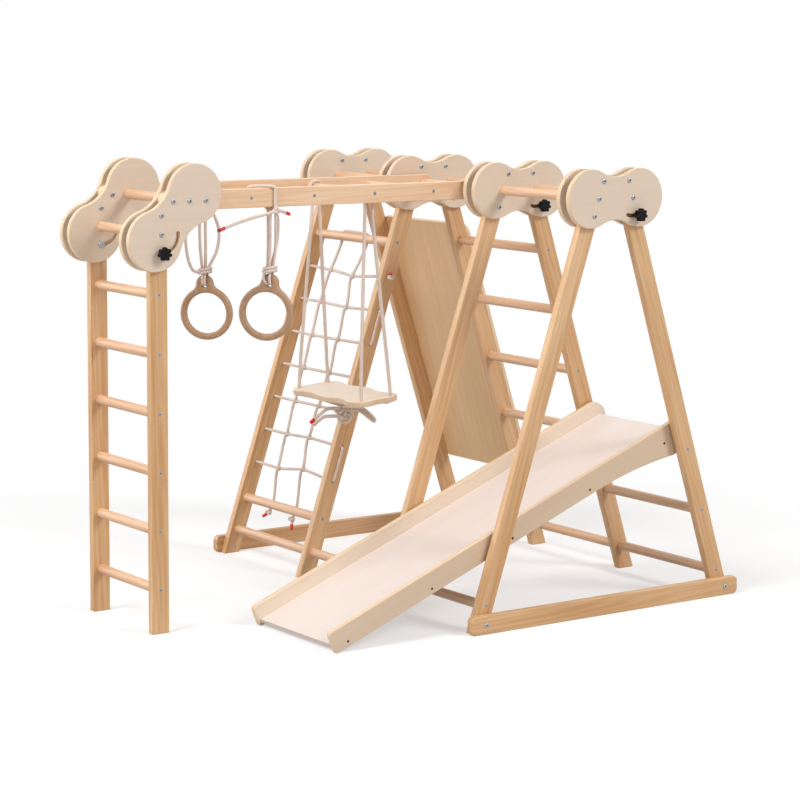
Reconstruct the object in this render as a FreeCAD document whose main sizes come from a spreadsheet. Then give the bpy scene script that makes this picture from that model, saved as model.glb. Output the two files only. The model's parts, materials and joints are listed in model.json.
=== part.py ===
"""Wooden indoor climber: folding A-frames, net, board, slide, overhead bars, ladder, rings and swing.

Millimetres and degrees. +X runs from the end ladder to the folding legs, +Y away from the slide, +Z up.
The origin is on the floor, below the middle of the whole climber.
"""
import FreeCAD
import Part
import Sketcher
import math
import os

Vec = FreeCAD.Vector

DRIVING = [
    # A-frames
    ("frame_pitch", 398),
    ("pivot_height", 1095),
    ("pivot_half", 57),
    ("lean", 18.2),
    ("leg_width", 49),
    ("leg_thick", 22),
    ("left_cap", 40),
    ("right_cap", 11),
    ("leg_play", 0.3),
    # hub plates, the same outline on the A-frames and on the ladder
    ("plate_thick", 15),
    ("lobe_radius", 76),
    ("lobe_half", 81),
    ("waist_half", 56),
    ("bolt_pitch", 47),
    ("slot_slack", 2),
    ("ladder_hub_turn", 45),
    # rungs and dowels
    ("rung_dia", 26),
    ("floor_rung_z", 68),
    ("top_rung_drop", 169),
    ("net_rung_z", 160),
    # fasteners and running clearance
    ("bolt_radius", 3.5),
    ("bolt_head_radius", 6.5),
    ("bolt_head_height", 3),
    ("pivot_radius", 4),
    ("dowel_bite", 40),
    ("screw_radius", 2.5),
    ("screw_head_radius", 5),
    ("screw_head_depth", 3),
    ("screw_bite", 30),
    ("run_clear", 0.05),
    ("cut_over", 20),
    # star knobs
    ("stud_radius", 4),
    ("slot_clear", 0.6),
    ("stud_head_radius", 9),
    ("stud_head_height", 3),
    ("knob_radius", 13),
    ("knob_lobe_radius", 4.5),
    ("knob_height", 14),
    ("knob_neck_radius", 9),
    ("knob_neck_height", 8),
    ("stud_spare", 2),
    # overhead bars and end ladder
    ("overhead_pitch", 190.7),
    ("rail_gap", 7.7),
    ("rail_height", 49),
    ("rail_thick", 22),
    ("rail_end", 30),
    ("ladder_rung_z", 113),
    ("ladder_top_drop", 151.4),
    # base bars
    ("bar_end", 46),
    ("bar_height", 49),
    ("bar_thick", 22),
    ("bar_corner", 14),
    # climbing board
    ("board_thick", 12),
    ("board_top_drop", 135),
    ("board_foot_z", 212),
    ("board_corner", 30),
    # slide
    ("slide_angle", 21.5),
    ("slide_gap", 6),
    ("side_thick", 15),
    ("side_rise", 83),
    ("side_height", 58),
    ("side_tail", 45),
    ("side_tail_corner", 40),
    ("side_corner", 8),
    ("hook_depth", 6),
    ("hook_clear", 0.3),
    ("belly_start", 30),
    ("belly_end", 300),
    ("deck_thick", 10),
    ("deck_drop", 39),
    ("deck_end", 8),
    ("slide_screw_start", 49),
    ("slide_screw_end", 43),
    ("slide_screw_radius", 1.8),
    ("slide_screw_head", 3.6),
    ("slide_screw_depth", 2.2),
    ("slide_screw_bite", 25),
    # net
    ("net_rope_radius", 3.5),
    ("net_hole_radius", 5.3),
    ("net_first_z", 264),
    ("net_top_drop", 262.5),
    ("net_knot_radius", 8.5),
    ("net_end_knot_radius", 11),
    ("net_tail", 26),
    # ring ropes and swing ropes
    ("rope_radius", 4),
    ("rope_gap", 0.3),
    ("rope_bend", 4.9),
    ("hook_gap", 0.4),
    # rings
    ("near_ring_x", 694),
    ("far_ring_x", 713),
    ("ring_radius", 72),
    ("ring_bore", 54),
    ("ring_thick", 18),
    ("ring_tab_rise", 78.5),
    ("ring_tab_radius", 24),
    ("ring_hole_rise", 75),
    ("ring_hole_radius", 7),
    ("ring_tab_blend", 24),
    ("ring_turn", 43),
    ("near_ring_lean", -7.5),
    ("far_ring_lean", 3.4),
    ("near_ring_drop", 298),
    ("far_ring_drop", 326),
    ("near_knot_shift", -7),
    ("far_knot_shift", 4),
    ("ring_knot_radius", 19),
    ("ring_knot_height", 10),
    ("near_bulge", 14),
    ("far_bulge_left", 52),
    ("far_bulge_right", 30),
    ("hitch_skew", 60),
    ("hitch_lift", 0.8),
    ("tail_long", 172),
    ("tail_long_drop", 54),
    ("tail_short", 47),
    ("tail_short_drop", 17),
    # swing
    ("seat_drop", 543),
    ("seat_thick", 15),
    ("seat_tilt", 5),
    ("seat_gap", 5),
    ("seat_shift", 9),
    ("seat_wide_half", 75),
    ("seat_corner_radius", 42),
    ("seat_side_radius", 130),
    ("seat_blend", 90),
    ("seat_hole_radius", 6),
    ("seat_hole_side", 28),
    ("seat_hole_end", 19),
    ("swing_near", 15),
    ("swing_rope_gap", 2.5),
    ("swing_side_room", 30),
    ("bow_radius", 20),
    ("bow_height", 12),
    ("bow_drop", 20),
    ("bow_tail", 100),
    ("bow_loop_radius", 17),
]

LADDER_RUNGS = 6
RIGHT_RUNGS = 6
SLIDE_BAY_RUNGS = 3
OVERHEAD_RUNGS = 4
OVERHEAD_STEPS = 5
SWING_RUNG = 2
NET_ROWS = 7
SLIDE_SCREWS = 5
KNOB_LOBES = 7
# places of the two net uprights at the top and the foot, as shares of the clear span from the far leg
NET_UPRIGHT_SHARES = [(0.27, 0.33), (0.61, 0.655)]
BOARD_SCREW_SHARES = [0.08, 0.5, 0.92]
ROPE_SHARE = 0.01
KNOT_SHARE = 0.85
TAIL_SHARE = 0.25
HAIRPIN_SHARE = 0.3
# swelling of a rope where two of its runs meet, and the part of the way to the bow that stays under the seat
ELBOW_SHARE = 1.04
UNDER_SHARE = 0.2
# ends of the bow's tails under the seat, as shares of their length along X, Y and down
BOW_SHARES = [(-0.64, 0.58, 0.3), (0.35, -0.85, 0.2)]
BOW_BEND_SHARE = 0.5
BOW_LIFT_SHARE = 0.06

doc = FreeCAD.newDocument("climber")
sheet = doc.addObject("Spreadsheet::Sheet", "Sizes")
for row, (alias, value) in enumerate(DRIVING, 1):
    sheet.set("A%d" % row, alias)
    sheet.set("B%d" % row, str(value))
    sheet.setAlias("B%d" % row, alias)
doc.recompute()


class Size:
    """A length or angle that keeps its value and the sheet expression that gives it."""

    def __init__(self, value, text):
        self.value = value
        self.text = text

    def _join(self, other, sign, value, swap=False):
        text = other.text if isinstance(other, Size) else repr(other)
        first, second = (text, self.text) if swap else (self.text, text)
        return Size(value, "(%s %s %s)" % (first, sign, second))

    def __add__(self, other):
        return self._join(other, "+", self.value + number(other))

    def __radd__(self, other):
        return self._join(other, "+", number(other) + self.value, True)

    def __sub__(self, other):
        return self._join(other, "-", self.value - number(other))

    def __rsub__(self, other):
        return self._join(other, "-", number(other) - self.value, True)

    def __mul__(self, other):
        return self._join(other, "*", self.value * number(other))

    def __rmul__(self, other):
        return self._join(other, "*", number(other) * self.value, True)

    def __truediv__(self, other):
        return self._join(other, "/", self.value / number(other))

    def __neg__(self):
        return Size(-self.value, "(0 - %s)" % self.text)


ZERO = Size(0.0, "0")


def number(size):
    return size.value if isinstance(size, Size) else size


def sin(angle):
    return Size(math.sin(math.radians(angle.value)), "sin(%s)" % angle.text)


def cos(angle):
    return Size(math.cos(math.radians(angle.value)), "cos(%s)" % angle.text)


def tan(angle):
    return Size(math.tan(math.radians(angle.value)), "tan(%s)" % angle.text)


class Sizes:
    """Gives each cell of the sheet as an attribute."""

    def __getattr__(self, alias):
        return Size(float(sheet.get(alias)), "Sizes." + alias)


d = Sizes()

# Places worked out from the driving sizes
hub_gap_half = d.leg_thick / 2 + d.leg_play
hub_half = hub_gap_half + d.plate_thick
rung_radius = d.rung_dia / 2
clear_span = d.frame_pitch - d.leg_thick
bar_half = d.pivot_half + (d.pivot_height - d.bar_height / 2) * tan(d.lean) + d.bar_end
hub_diag = d.pivot_half * sin(d.ladder_hub_turn)
ladder_reach = d.pivot_half + OVERHEAD_STEPS * d.overhead_pitch + hub_diag
left_reach = ladder_reach + d.lobe_half * sin(d.ladder_hub_turn) + d.lobe_radius
ridge_x = (left_reach - bar_half) / 2
upper_dowel_x = ridge_x - d.pivot_half - OVERHEAD_STEPS * d.overhead_pitch
ladder_x = upper_dowel_x - 2 * hub_diag
ladder_pivot_z = d.pivot_height - 2 * hub_diag
ladder_hub_x = upper_dowel_x - hub_diag
ladder_hub_z = d.pivot_height - hub_diag
rail_spacing = d.frame_pitch - 2 * hub_half - d.rail_thick - 2 * d.rail_gap
rail_y = rail_spacing / 2
slide_width = clear_span - 2 * d.slide_gap


def frame_y(frame):
    """Middle plane of A-frame 1 (far) to 4 (near)."""
    return (2.5 - frame) * d.frame_pitch


def leg_x(side, z):
    """X of a leg's middle line at a height, side -1 for the left legs and 1 for the right ones."""
    return ridge_x + side * (d.pivot_half + (d.pivot_height - z) * tan(d.lean))


def along_leg(side, up):
    """Place on a leg's middle line, a distance up from its pivot."""
    x = ridge_x + side * (d.pivot_half - up * sin(d.lean))
    return x, d.pivot_height + up * cos(d.lean)


def right_rung_z(step):
    rise = d.pivot_height - d.top_rung_drop - d.floor_rung_z
    return d.floor_rung_z + step * rise / (RIGHT_RUNGS - 1)


def ladder_rung_z(step):
    rise = ladder_pivot_z - d.ladder_top_drop - d.ladder_rung_z
    return d.ladder_rung_z + step * rise / (LADDER_RUNGS - 1)


def net_row_z(row):
    rise = d.pivot_height - d.net_top_drop - d.net_first_z
    return d.net_first_z + row * rise / (NET_ROWS - 1)


hook_z = right_rung_z(SLIDE_BAY_RUNGS - 1)
hook_x = leg_x(1, hook_z)

nodes = {}


def bind(obj, **sizes):
    for name, size in sizes.items():
        obj.setExpression(name, size.text)
    return obj


def place(obj, x, y, z, axis=None, angle=0):
    turn = FreeCAD.Rotation(axis, number(angle)) if axis else FreeCAD.Rotation()
    obj.Placement = FreeCAD.Placement(Vec(number(x), number(y), number(z)), turn)
    for name, size in (("x", x), ("y", y), ("z", z)):
        if isinstance(size, Size):
            obj.setExpression("Placement.Base." + name, size.text)
    if isinstance(angle, Size):
        obj.setExpression("Placement.Rotation.Angle", angle.text)
    return obj


def box(length, width, height):
    return bind(doc.addObject("Part::Box", "Block"), Length=length, Width=width, Height=height)


X_AXIS, Y_AXIS, Z_AXIS = Vec(1, 0, 0), Vec(0, 1, 0), Vec(0, 0, 1)
TO_Y = -90
TINY = 1e-6


def rod(x, z, start, length, radius):
    """Round bar along +Y from start."""
    bar = bind(doc.addObject("Part::Cylinder", "Rod"), Radius=radius, Height=length)
    return place(bar, x, start, z, X_AXIS, TO_Y)


def cone(x, z, start, length, first, second):
    """Cone along +Y from the first radius to the second."""
    piece = bind(doc.addObject("Part::Cone", "Taper"), Radius1=first, Radius2=second, Height=length)
    return place(piece, x, start, z, X_AXIS, TO_Y)


def group(pieces):
    if len(pieces) == 1:
        return pieces[0]
    bundle = doc.addObject("Part::Compound", "Group")
    bundle.Links = pieces
    return bundle


def fuse(pieces):
    joined = doc.addObject("Part::MultiFuse", "Joined")
    joined.Shapes = pieces
    joined.Refine = True
    return joined


def cut(base, tools):
    piece = doc.addObject("Part::Cut", "Shaped")
    piece.Base = base
    piece.Tool = group(tools)
    piece.Refine = True
    return piece


def node(label, piece):
    piece.Label = label
    nodes[label] = piece
    return piece


def solid(shape):
    """A document object that holds a shape made with Part's own functions."""
    piece = doc.addObject("Part::Feature", "Form")
    piece.Shape = shape
    return piece


def arc_between(centre, start, end, through):
    """Arc round a centre between two points, on the side where through lies."""
    radius = (start - centre).Length

    def bearing(point):
        return math.atan2(point.y - centre.y, point.x - centre.x)

    turn = 2 * math.pi
    first, last = bearing(start), bearing(end)
    if (bearing(through) - first) % turn > (last - first) % turn:
        first, last = last, first
    return Part.ArcOfCircle(Part.Circle(centre, Z_AXIS, radius), first, first + (last - first) % turn)


def blend_centre(first, second, blend):
    """Centre of the hollow arc on the left of the way from one circle to the next, each (centre, radius)."""
    gap = second[0] - first[0]
    near, far = first[1] + blend, second[1] + blend
    along = (near ** 2 - far ** 2 + gap.Length ** 2) / (2 * gap.Length)
    across = math.sqrt(near ** 2 - along ** 2)
    unit = gap / gap.Length
    return first[0] + unit * along + Vec(-unit.y, unit.x, 0) * across


def toward(point, target, distance):
    gap = target - point
    return point + gap * (distance / gap.Length)


def lobed_outline(trip, blend):
    """Closed outline clockwise round a loop of circles, each (centre, radius), joined by hollow arcs."""
    hollows = []
    for index, first in enumerate(trip):
        second = trip[(index + 1) % len(trip)]
        middle = blend_centre(first, second, blend)
        hollows.append((toward(first[0], middle, first[1]), middle, toward(second[0], middle, second[1])))
    arcs = []
    for index, (enter, middle, leave) in enumerate(hollows):
        arcs.append(arc_between(middle, enter, leave, (enter + leave) / 2))
        centre, radius = trip[(index + 1) % len(trip)]
        following = hollows[(index + 1) % len(hollows)][0]
        chord = following - leave
        outward = Vec(-chord.y, chord.x, 0)
        arcs.append(arc_between(centre, leave, following, centre + outward))
    return arcs


def circle(x, y, radius):
    return Part.Circle(Vec(number(x), number(y), 0), Z_AXIS, number(radius))


def arc_slot(x, y, radius, half_width, first, last):
    """Closed outline of a slot that curves round a pivot, from one bearing to another in degrees."""
    centre = Vec(x, y, 0)

    def at(distance, bearing):
        turn = math.radians(bearing)
        return centre + Vec(distance * math.cos(turn), distance * math.sin(turn), 0)

    inner, outer = radius - half_width, radius + half_width
    halfway = (first + last) / 2
    beyond = math.degrees(half_width / radius)
    return [
        arc_between(centre, at(outer, first), at(outer, last), at(outer, halfway)),
        arc_between(at(radius, last), at(outer, last), at(inner, last), at(radius, last + beyond)),
        arc_between(centre, at(inner, last), at(inner, first), at(inner, halfway)),
        arc_between(at(radius, first), at(inner, first), at(outer, first), at(radius, first - beyond)),
    ]


def sketch_pad(outlines, thick, radii=()):
    """Body padded along +Z from closed outlines, the first one outside. Radii are (edge, size) pairs."""
    body = doc.addObject("PartDesign::Body", "Board")
    sketch = body.newObject("Sketcher::SketchObject", "Outline")
    plane = [item for item in body.Origin.OriginFeatures if item.Role == "XY_Plane"][0]
    sketch.AttachmentSupport = [(plane, "")]
    sketch.MapMode = "FlatFace"
    for outline in outlines:
        first = sketch.GeometryCount
        sketch.addGeometry(outline, False)
        for index in range(len(outline) if len(outline) > 1 else 0):
            one, two = first + index, first + (index + 1) % len(outline)
            pairs = [(a, b) for a in (1, 2) for b in (1, 2)]
            gaps = [(sketch.getPoint(one, a) - sketch.getPoint(two, b)).Length for a, b in pairs]
            end_one, end_two = pairs[gaps.index(min(gaps))]
            sketch.addConstraint(Sketcher.Constraint("Coincident", one, end_one, two, end_two))
    for edge, size in radii:
        rule = sketch.addConstraint(Sketcher.Constraint("Radius", edge, size.value))
        sketch.setExpression("Constraints[%d]" % rule, size.text)
    pad = body.newObject("PartDesign::Pad", "Thickness")
    pad.Profile = sketch
    bind(pad, Length=thick)
    return body


def upright_board(body, x, far_face, z):
    """Stands a padded body up: its x along X, its y along Z, its thickness toward -Y from the far face."""
    return place(body, x, far_face, z, X_AXIS, -TO_Y)


def rod_out(x, z, face, out, near, far, radius):
    """Round bar along Y between two distances outward from a face, out being 1 or -1."""
    start = face + near if out > 0 else face - far
    return rod(x, z, start, far - near, radius)


def cone_in(x, z, face, out, depth, head_radius, shank_radius):
    """Sunk screw head whose wide end is flush with a face."""
    if out > 0:
        return cone(x, z, face - depth, depth, shank_radius, head_radius)
    return cone(x, z, face, depth, head_radius, shank_radius)


class Timber:
    """A wooden piece and the holes that its fasteners need."""

    def __init__(self, raw):
        self.raw = raw
        self.bores = []
        self.sinks = []

    def shaped(self):
        piece = cut(self.raw, self.bores) if self.bores else self.raw
        return cut(piece, self.sinks) if self.sinks else piece


class Screws:
    """Sunk screws of one size."""

    def __init__(self, radius, head, depth):
        self.radius, self.head, self.depth = radius, head, depth
        self.pieces = []

    def drive(self, timber, x, z, face, out, thick, bite):
        """One screw through a timber, its head flush with the face that looks out."""
        shank = rod_out(x, z, face, -out, self.depth, thick + bite, self.radius)
        self.pieces.append(fuse([cone_in(x, z, face, out, self.depth, self.head, self.radius), shank]))
        wide = self.radius + d.run_clear
        timber.bores.append(rod_out(x, z, face, -out, -d.cut_over, thick + d.cut_over, wide))
        timber.sinks.append(cone_in(x, z, face, out, self.depth, self.head + d.run_clear, wide))

    def pin(self, timber, x, z, y, half):
        """A plain pin through a timber into a rung on each side of it."""
        self.pieces.append(rod(x, z, y - half, 2 * half, self.radius))
        wide = self.radius + d.run_clear
        timber.bores.append(rod(x, z, y - half, 2 * half, wide))


def rung(x, z, start, length, pilot_radius, pilot_depth):
    """Round rung along Y with a pilot hole in each end."""
    bar = rod(x, z, start, length, rung_radius)
    first = rod(x, z, start - d.cut_over, d.cut_over + pilot_depth, pilot_radius)
    last = rod(x, z, start + length - pilot_depth, d.cut_over + pilot_depth, pilot_radius)
    return cut(bar, [first, last])


def round_topped(x, z, y, turn, down, cap):
    """Leg or post through a pivot at (x, z), turned about Y, with a round top."""
    half = d.leg_width / 2
    block = box(d.leg_width, d.leg_thick, down + cap)
    corner_x = x - half * cos(turn) - down * sin(turn)
    corner_z = z + half * sin(turn) - down * cos(turn)
    place(block, corner_x, y - d.leg_thick / 2, corner_z, Y_AXIS, turn)
    top = rod(x + cap * sin(turn), z + cap * cos(turn), y - d.leg_thick / 2, d.leg_thick, half)
    return fuse([block, top])


def floored(piece, x, y):
    """The piece with everything below the floor taken off."""
    wide, deep = 4 * d.leg_width, 2 * d.leg_width
    slab = box(2 * wide, wide, deep)
    place(slab, x - wide, y - wide / 2, -deep)
    return cut(piece, [slab])


def round_corners(piece, axis, radius):
    """Rounds the corner edges of a block that run along an axis."""
    doc.recompute([piece])
    softened = doc.addObject("Part::Fillet", "Rounded")
    softened.Base = piece
    edges = []
    for index, edge in enumerate(piece.Shape.Edges, 1):
        ends = edge.Vertexes[1].Point - edge.Vertexes[0].Point
        if ends.cross(axis).Length < TINY * ends.Length:
            edges.append((index, radius.value, radius.value))
    softened.Edges = edges
    return softened


def rope_path(points, bend=None, slack_share=0.45):
    """Straight runs with tangent arcs at the inner points, as wide as they can be without a given bend."""
    edges = []
    start = points[0]
    bends = []
    for before, point, after in zip(points, points[1:], points[2:]):
        opening = (before - point).getAngle(after - point)
        shorter = min((before - point).Length, (after - point).Length)
        radius = bend if bend else slack_share * shorter * math.tan(opening / 2)
        back = radius / math.tan(opening / 2)
        enter, leave = toward(point, before, back), toward(point, after, back)
        reach = radius / math.sin(opening / 2)
        centre = toward(point, (enter + leave) / 2, reach)
        if (enter - start).Length > TINY:
            edges.append(Part.LineSegment(start, enter).toShape())
        edges.append(Part.Arc(enter, toward(centre, point, radius), leave).toShape())
        start = leave
        bends.append(radius)
    edges.append(Part.LineSegment(start, points[-1]).toShape())
    return edges, min(bends) if bends else 0


def sweep(edges, radius):
    """Rope of a radius along joined edges."""
    wire = Part.Wire(edges)
    first = edges[0]
    start = wire.OrderedVertexes[0].Point
    along = first.tangentAt(first.FirstParameter)
    ring = Part.Wire([Part.Circle(start, along, radius).toShape()])
    tube = wire.makePipeShell([ring], True, False)
    if tube.Volume < 0:
        tube.reverse()
    expected = math.pi * radius ** 2 * wire.Length
    if abs(tube.Volume / expected - 1) > ROPE_SHARE:
        raise ValueError("rope volume %.0f, expected %.0f" % (tube.Volume, expected))
    return tube, wire.Length


def rope(name, points, radius, bend=None):
    edges, tightest = rope_path(points, bend)
    tube, length = sweep(edges, radius)
    print("%s: length %.0f mm, tightest bend %.1f mm" % (name, length, tightest))
    return tube


def knot(centre, across, high, axis=Z_AXIS):
    """Flattened ball."""
    ball = Part.makeSphere(across)
    grow = FreeCAD.Matrix()
    grow.scale(1, 1, high / across)
    ball = ball.transformGeometry(grow)
    ball.Placement = FreeCAD.Placement(centre, FreeCAD.Rotation(Z_AXIS, axis))
    return ball


def tangent_point(point, centre, radius, side):
    """Where a line from a point touches a circle in the XZ plane, on one side of it."""
    gap = point - centre
    reach = math.hypot(gap.x, gap.z)
    turn = math.atan2(gap.z, gap.x) + side * math.acos(radius / reach)
    return Vec(centre.x + radius * math.cos(turn), point.y, centre.z + radius * math.sin(turn))


def joined(shapes):
    whole = shapes[0].fuse(shapes[1:]).removeSplitter()
    if len(whole.Solids) != 1:
        raise ValueError("rope falls into %d pieces" % len(whole.Solids))
    return whole.Solids[0]


# Legs of the four A-frames
FRAMES = (1, 2, 3, 4)
legs = {}
for side in (-1, 1):
    for frame in FRAMES:
        turn = -side * d.lean
        pivot = ridge_x + side * d.pivot_half
        down = d.pivot_height / cos(d.lean) + d.leg_width
        cap = d.left_cap if side < 0 else d.right_cap
        raw = round_topped(pivot, d.pivot_height, frame_y(frame), turn, down, cap)
        foot = leg_x(side, ZERO)
        legs[side, frame] = Timber(floored(raw, foot, frame_y(frame)))

# Rungs between the legs, by bay: bay 1 is the far one
left_bays = {
    1: [d.floor_rung_z, d.net_rung_z, right_rung_z(RIGHT_RUNGS - 1)],
    2: [d.floor_rung_z],
    3: [d.floor_rung_z],
}
right_bays = {
    2: [right_rung_z(step) for step in range(RIGHT_RUNGS)],
    3: [right_rung_z(step) for step in range(SLIDE_BAY_RUNGS)],
}
pilot = d.screw_radius + d.run_clear
pilot_depth = d.screw_bite + d.run_clear


def bay_rungs(side, bay, heights):
    start = frame_y(bay + 1) + d.leg_thick / 2
    return [rung(leg_x(side, z), z, start, clear_span, pilot, pilot_depth) for z in heights]


left_rungs = [piece for bay, heights in left_bays.items() for piece in bay_rungs(-1, bay, heights)]
node("left_rungs", group(left_rungs))
node("middle_rungs", group(bay_rungs(1, 2, right_bays[2])))
node("slide_rungs", group(bay_rungs(1, 3, right_bays[3][:-1])))
node("slide_hook_rung", group(bay_rungs(1, 3, right_bays[3][-1:])))


def tie_rungs(side, bays):
    """Screws and pins that hold the rung ends of one side."""
    screws = Screws(d.screw_radius, d.screw_head_radius, d.screw_head_depth)
    for frame in FRAMES:
        y = frame_y(frame)
        far_side = {z.text: z for z in bays.get(frame - 1, [])}
        near_side = {z.text: z for z in bays.get(frame, [])}
        for text, z in {**far_side, **near_side}.items():
            x = leg_x(side, z)
            timber = legs[side, frame]
            if text in far_side and text in near_side:
                screws.pin(timber, x, z, y, d.leg_thick / 2 + d.screw_bite)
            else:
                out = -1 if text in far_side else 1
                screws.drive(timber, x, z, y + out * d.leg_thick / 2, out, d.leg_thick, d.screw_bite)
    return screws


frame_screws = tie_rungs(-1, left_bays)
node("frame_screws", group(frame_screws.pieces))
right_screws = tie_rungs(1, right_bays)


# Hub plates
waist_gap = d.lobe_radius.value - d.waist_half.value
waist_blend = (d.lobe_half.value ** 2 + d.waist_half.value ** 2 - d.lobe_radius.value ** 2) / (2 * waist_gap)


def hub_plate(turn, holes, slot_pivot, slot_first, slot_last):
    """Two-lobed plate in X and Z from its middle, turned, with round holes and one curved slot."""
    bearing = math.radians(turn)
    reach = Vec(math.cos(bearing), math.sin(bearing), 0) * d.lobe_half.value
    lobe = d.lobe_radius.value
    outline = lobed_outline([(-reach, lobe), (reach, lobe)], waist_blend)
    outlines = [outline] + [[circle(x, z, radius)] for x, z, radius in holes]
    stud_half = (d.stud_radius + d.slot_clear).value
    px, pz = [number(size) for size in slot_pivot]
    slack = d.slot_slack.value
    outlines.append(arc_slot(px, pz, d.bolt_pitch.value, stud_half, slot_first - slack, slot_last + slack))
    first_hole = len(outline)
    radii = [(1, d.lobe_radius)]
    radii += [(first_hole + index, hole[2]) for index, hole in enumerate(holes)]
    return sketch_pad(outlines, d.plate_thick, radii)


bolt_hole = d.bolt_radius + d.run_clear
pivot_hole = d.pivot_radius + d.run_clear
rise, shift = d.bolt_pitch * cos(d.lean), d.bolt_pitch * sin(d.lean)
frame_hub_holes = [
    (-d.pivot_half, ZERO, pivot_hole),
    (d.pivot_half, ZERO, pivot_hole),
    (shift - d.pivot_half, rise, bolt_hole),
    (-shift - d.pivot_half, -rise, bolt_hole),
    (d.pivot_half - shift, rise, bolt_hole),
]
DOWN = 270
for frame in FRAMES:
    plates = []
    for far_face in (frame_y(frame) + hub_half, frame_y(frame) - hub_gap_half):
        lean = d.lean.value
        plate = hub_plate(0, frame_hub_holes, (d.pivot_half, 0), DOWN - lean, DOWN + lean)
        plates.append(upright_board(plate, ridge_x, far_face, d.pivot_height))
    node("hub_plates_%d" % frame, group(plates))


def through_bolt(x, z, y, timbers):
    """Bolt through both plates of a hub and what they hold, with a low head on each side."""
    shank = rod(x, z, y - hub_half, 2 * hub_half, d.bolt_radius)
    heads = [rod_out(x, z, y + out * hub_half, out, ZERO, d.bolt_head_height, d.bolt_head_radius)
             for out in (-1, 1)]
    for timber in timbers:
        timber.bores.append(rod(x, z, y - hub_half, 2 * hub_half, bolt_hole))
    return fuse([shank] + heads)


def end_bolt(x, z, face, out, thick, bite, timbers):
    """Bolt with its head on an outer face, through what lies behind it and into a dowel's end."""
    shank = rod_out(x, z, face, -out, ZERO, thick + bite, d.pivot_radius)
    cap = rod_out(x, z, face, out, ZERO, d.bolt_head_height, d.bolt_head_radius)
    for timber in timbers:
        timber.bores.append(rod_out(x, z, face, -out, ZERO, thick, pivot_hole))
    return fuse([shank, cap])


hub_bolts, pivot_bolts = [], []
for frame in FRAMES:
    y = frame_y(frame)
    for side, up, held in ((-1, d.bolt_pitch, True), (-1, -d.bolt_pitch, True), (1, d.bolt_pitch, False)):
        x, z = along_leg(side, up)
        hub_bolts.append(through_bolt(x, z, y, [legs[side, frame]] if held else []))
    for side in (-1, 1):
        x = ridge_x + side * d.pivot_half
        timber = legs[side, frame]
        if frame in (1, 4):
            out = 1 if frame == 1 else -1
            face = y + out * hub_half
            pivot_bolts.append(end_bolt(x, d.pivot_height, face, out, 2 * hub_half, d.dowel_bite, [timber]))
        else:
            half = hub_half + d.dowel_bite
            pivot_bolts.append(rod(x, d.pivot_height, y - half, 2 * half, d.pivot_radius))
            timber.bores.append(rod(x, d.pivot_height, y - half, 2 * half, pivot_hole))
node("hub_bolts", group(hub_bolts))
node("pivot_bolts", group(pivot_bolts))

dowel_length = d.frame_pitch - 2 * hub_half
bite = d.dowel_bite + d.run_clear
for side, name in ((-1, "left"), (1, "right")):
    dowels = []
    for bay in (1, 2, 3):
        start = frame_y(bay + 1) + hub_half
        x = ridge_x + side * d.pivot_half
        dowels.append(rung(x, d.pivot_height, start, dowel_length, pivot_hole, bite))
    node("ridge_dowels_" + name, group(dowels))


# Star knobs and their studs
knob_rise = d.knob_neck_height + d.knob_height


def stud(x, z, y, out, timber):
    """Stud through a hub's slots and the leg between them, its flat head on the side away from the knob."""
    behind = y - out * (hub_half + d.leg_play)
    cap = rod_out(x, z, behind, -out, ZERO, d.stud_head_height, d.stud_head_radius)
    reach = 2 * (hub_half + d.leg_play) + knob_rise - d.stud_spare - d.run_clear
    timber.bores.append(rod(x, z, y - hub_half, 2 * hub_half, d.stud_radius + d.run_clear))
    return fuse([cap, rod_out(x, z, behind, out, ZERO, reach, d.stud_radius)])


def star_knob(x, z, y, out):
    face = y + out * (hub_half + d.leg_play)
    neck = rod_out(x, z, face, out, ZERO, d.knob_neck_height, d.knob_neck_radius)
    core = rod_out(x, z, face, out, d.knob_neck_height, knob_rise, d.knob_radius)
    lobes = []
    for lobe in range(KNOB_LOBES):
        turn = Size(360.0 * lobe / KNOB_LOBES, "(360 * %d / %d)" % (lobe, KNOB_LOBES))
        lobe_x, lobe_z = x + d.knob_radius * sin(turn), z + d.knob_radius * cos(turn)
        lobes.append(rod_out(lobe_x, lobe_z, face, out, d.knob_neck_height, knob_rise, d.knob_lobe_radius))
    bore = rod_out(x, z, face, out, -d.cut_over, knob_rise - d.stud_spare, d.stud_radius + d.run_clear)
    return cut(fuse([neck, core] + lobes), [bore])


frame_studs = []
for frame in FRAMES:
    out = 1 if frame < 3 else -1
    x, z = along_leg(1, -d.bolt_pitch)
    frame_studs.append(stud(x, z, frame_y(frame), out, legs[1, frame]))
    node("knob_%d" % frame, star_knob(x, z, frame_y(frame), out))
node("frame_studs", group(frame_studs))


# Overhead rails, their rungs and the ladder hubs
overhead_screws = Screws(d.screw_radius, d.screw_head_radius, d.screw_head_depth)
rail_cap = d.rail_height / 2
rail_right = ridge_x - d.pivot_half + d.rail_end - rail_cap
rail_left = upper_dowel_x - d.bolt_pitch
SIDES = ((-1, "near"), (1, "far"))
rails, posts = {}, {}
for out, name in SIDES:
    y = out * rail_y
    start = y - d.rail_thick / 2
    block = box(rail_right - rail_left, d.rail_thick, d.rail_height)
    place(block, rail_left, start, d.pivot_height - rail_cap)
    ends = [rod(x, d.pivot_height, start, d.rail_thick, rail_cap) for x in (rail_left, rail_right)]
    rails[out] = Timber(fuse([block] + ends))
    dowel_x = ridge_x - d.pivot_half
    rails[out].bores.append(rod(dowel_x, d.pivot_height, start, d.rail_thick, rung_radius + d.run_clear))
    post = round_topped(ladder_x, ladder_pivot_z, y, ZERO, ladder_pivot_z, d.right_cap)
    posts[out] = Timber(post)

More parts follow.
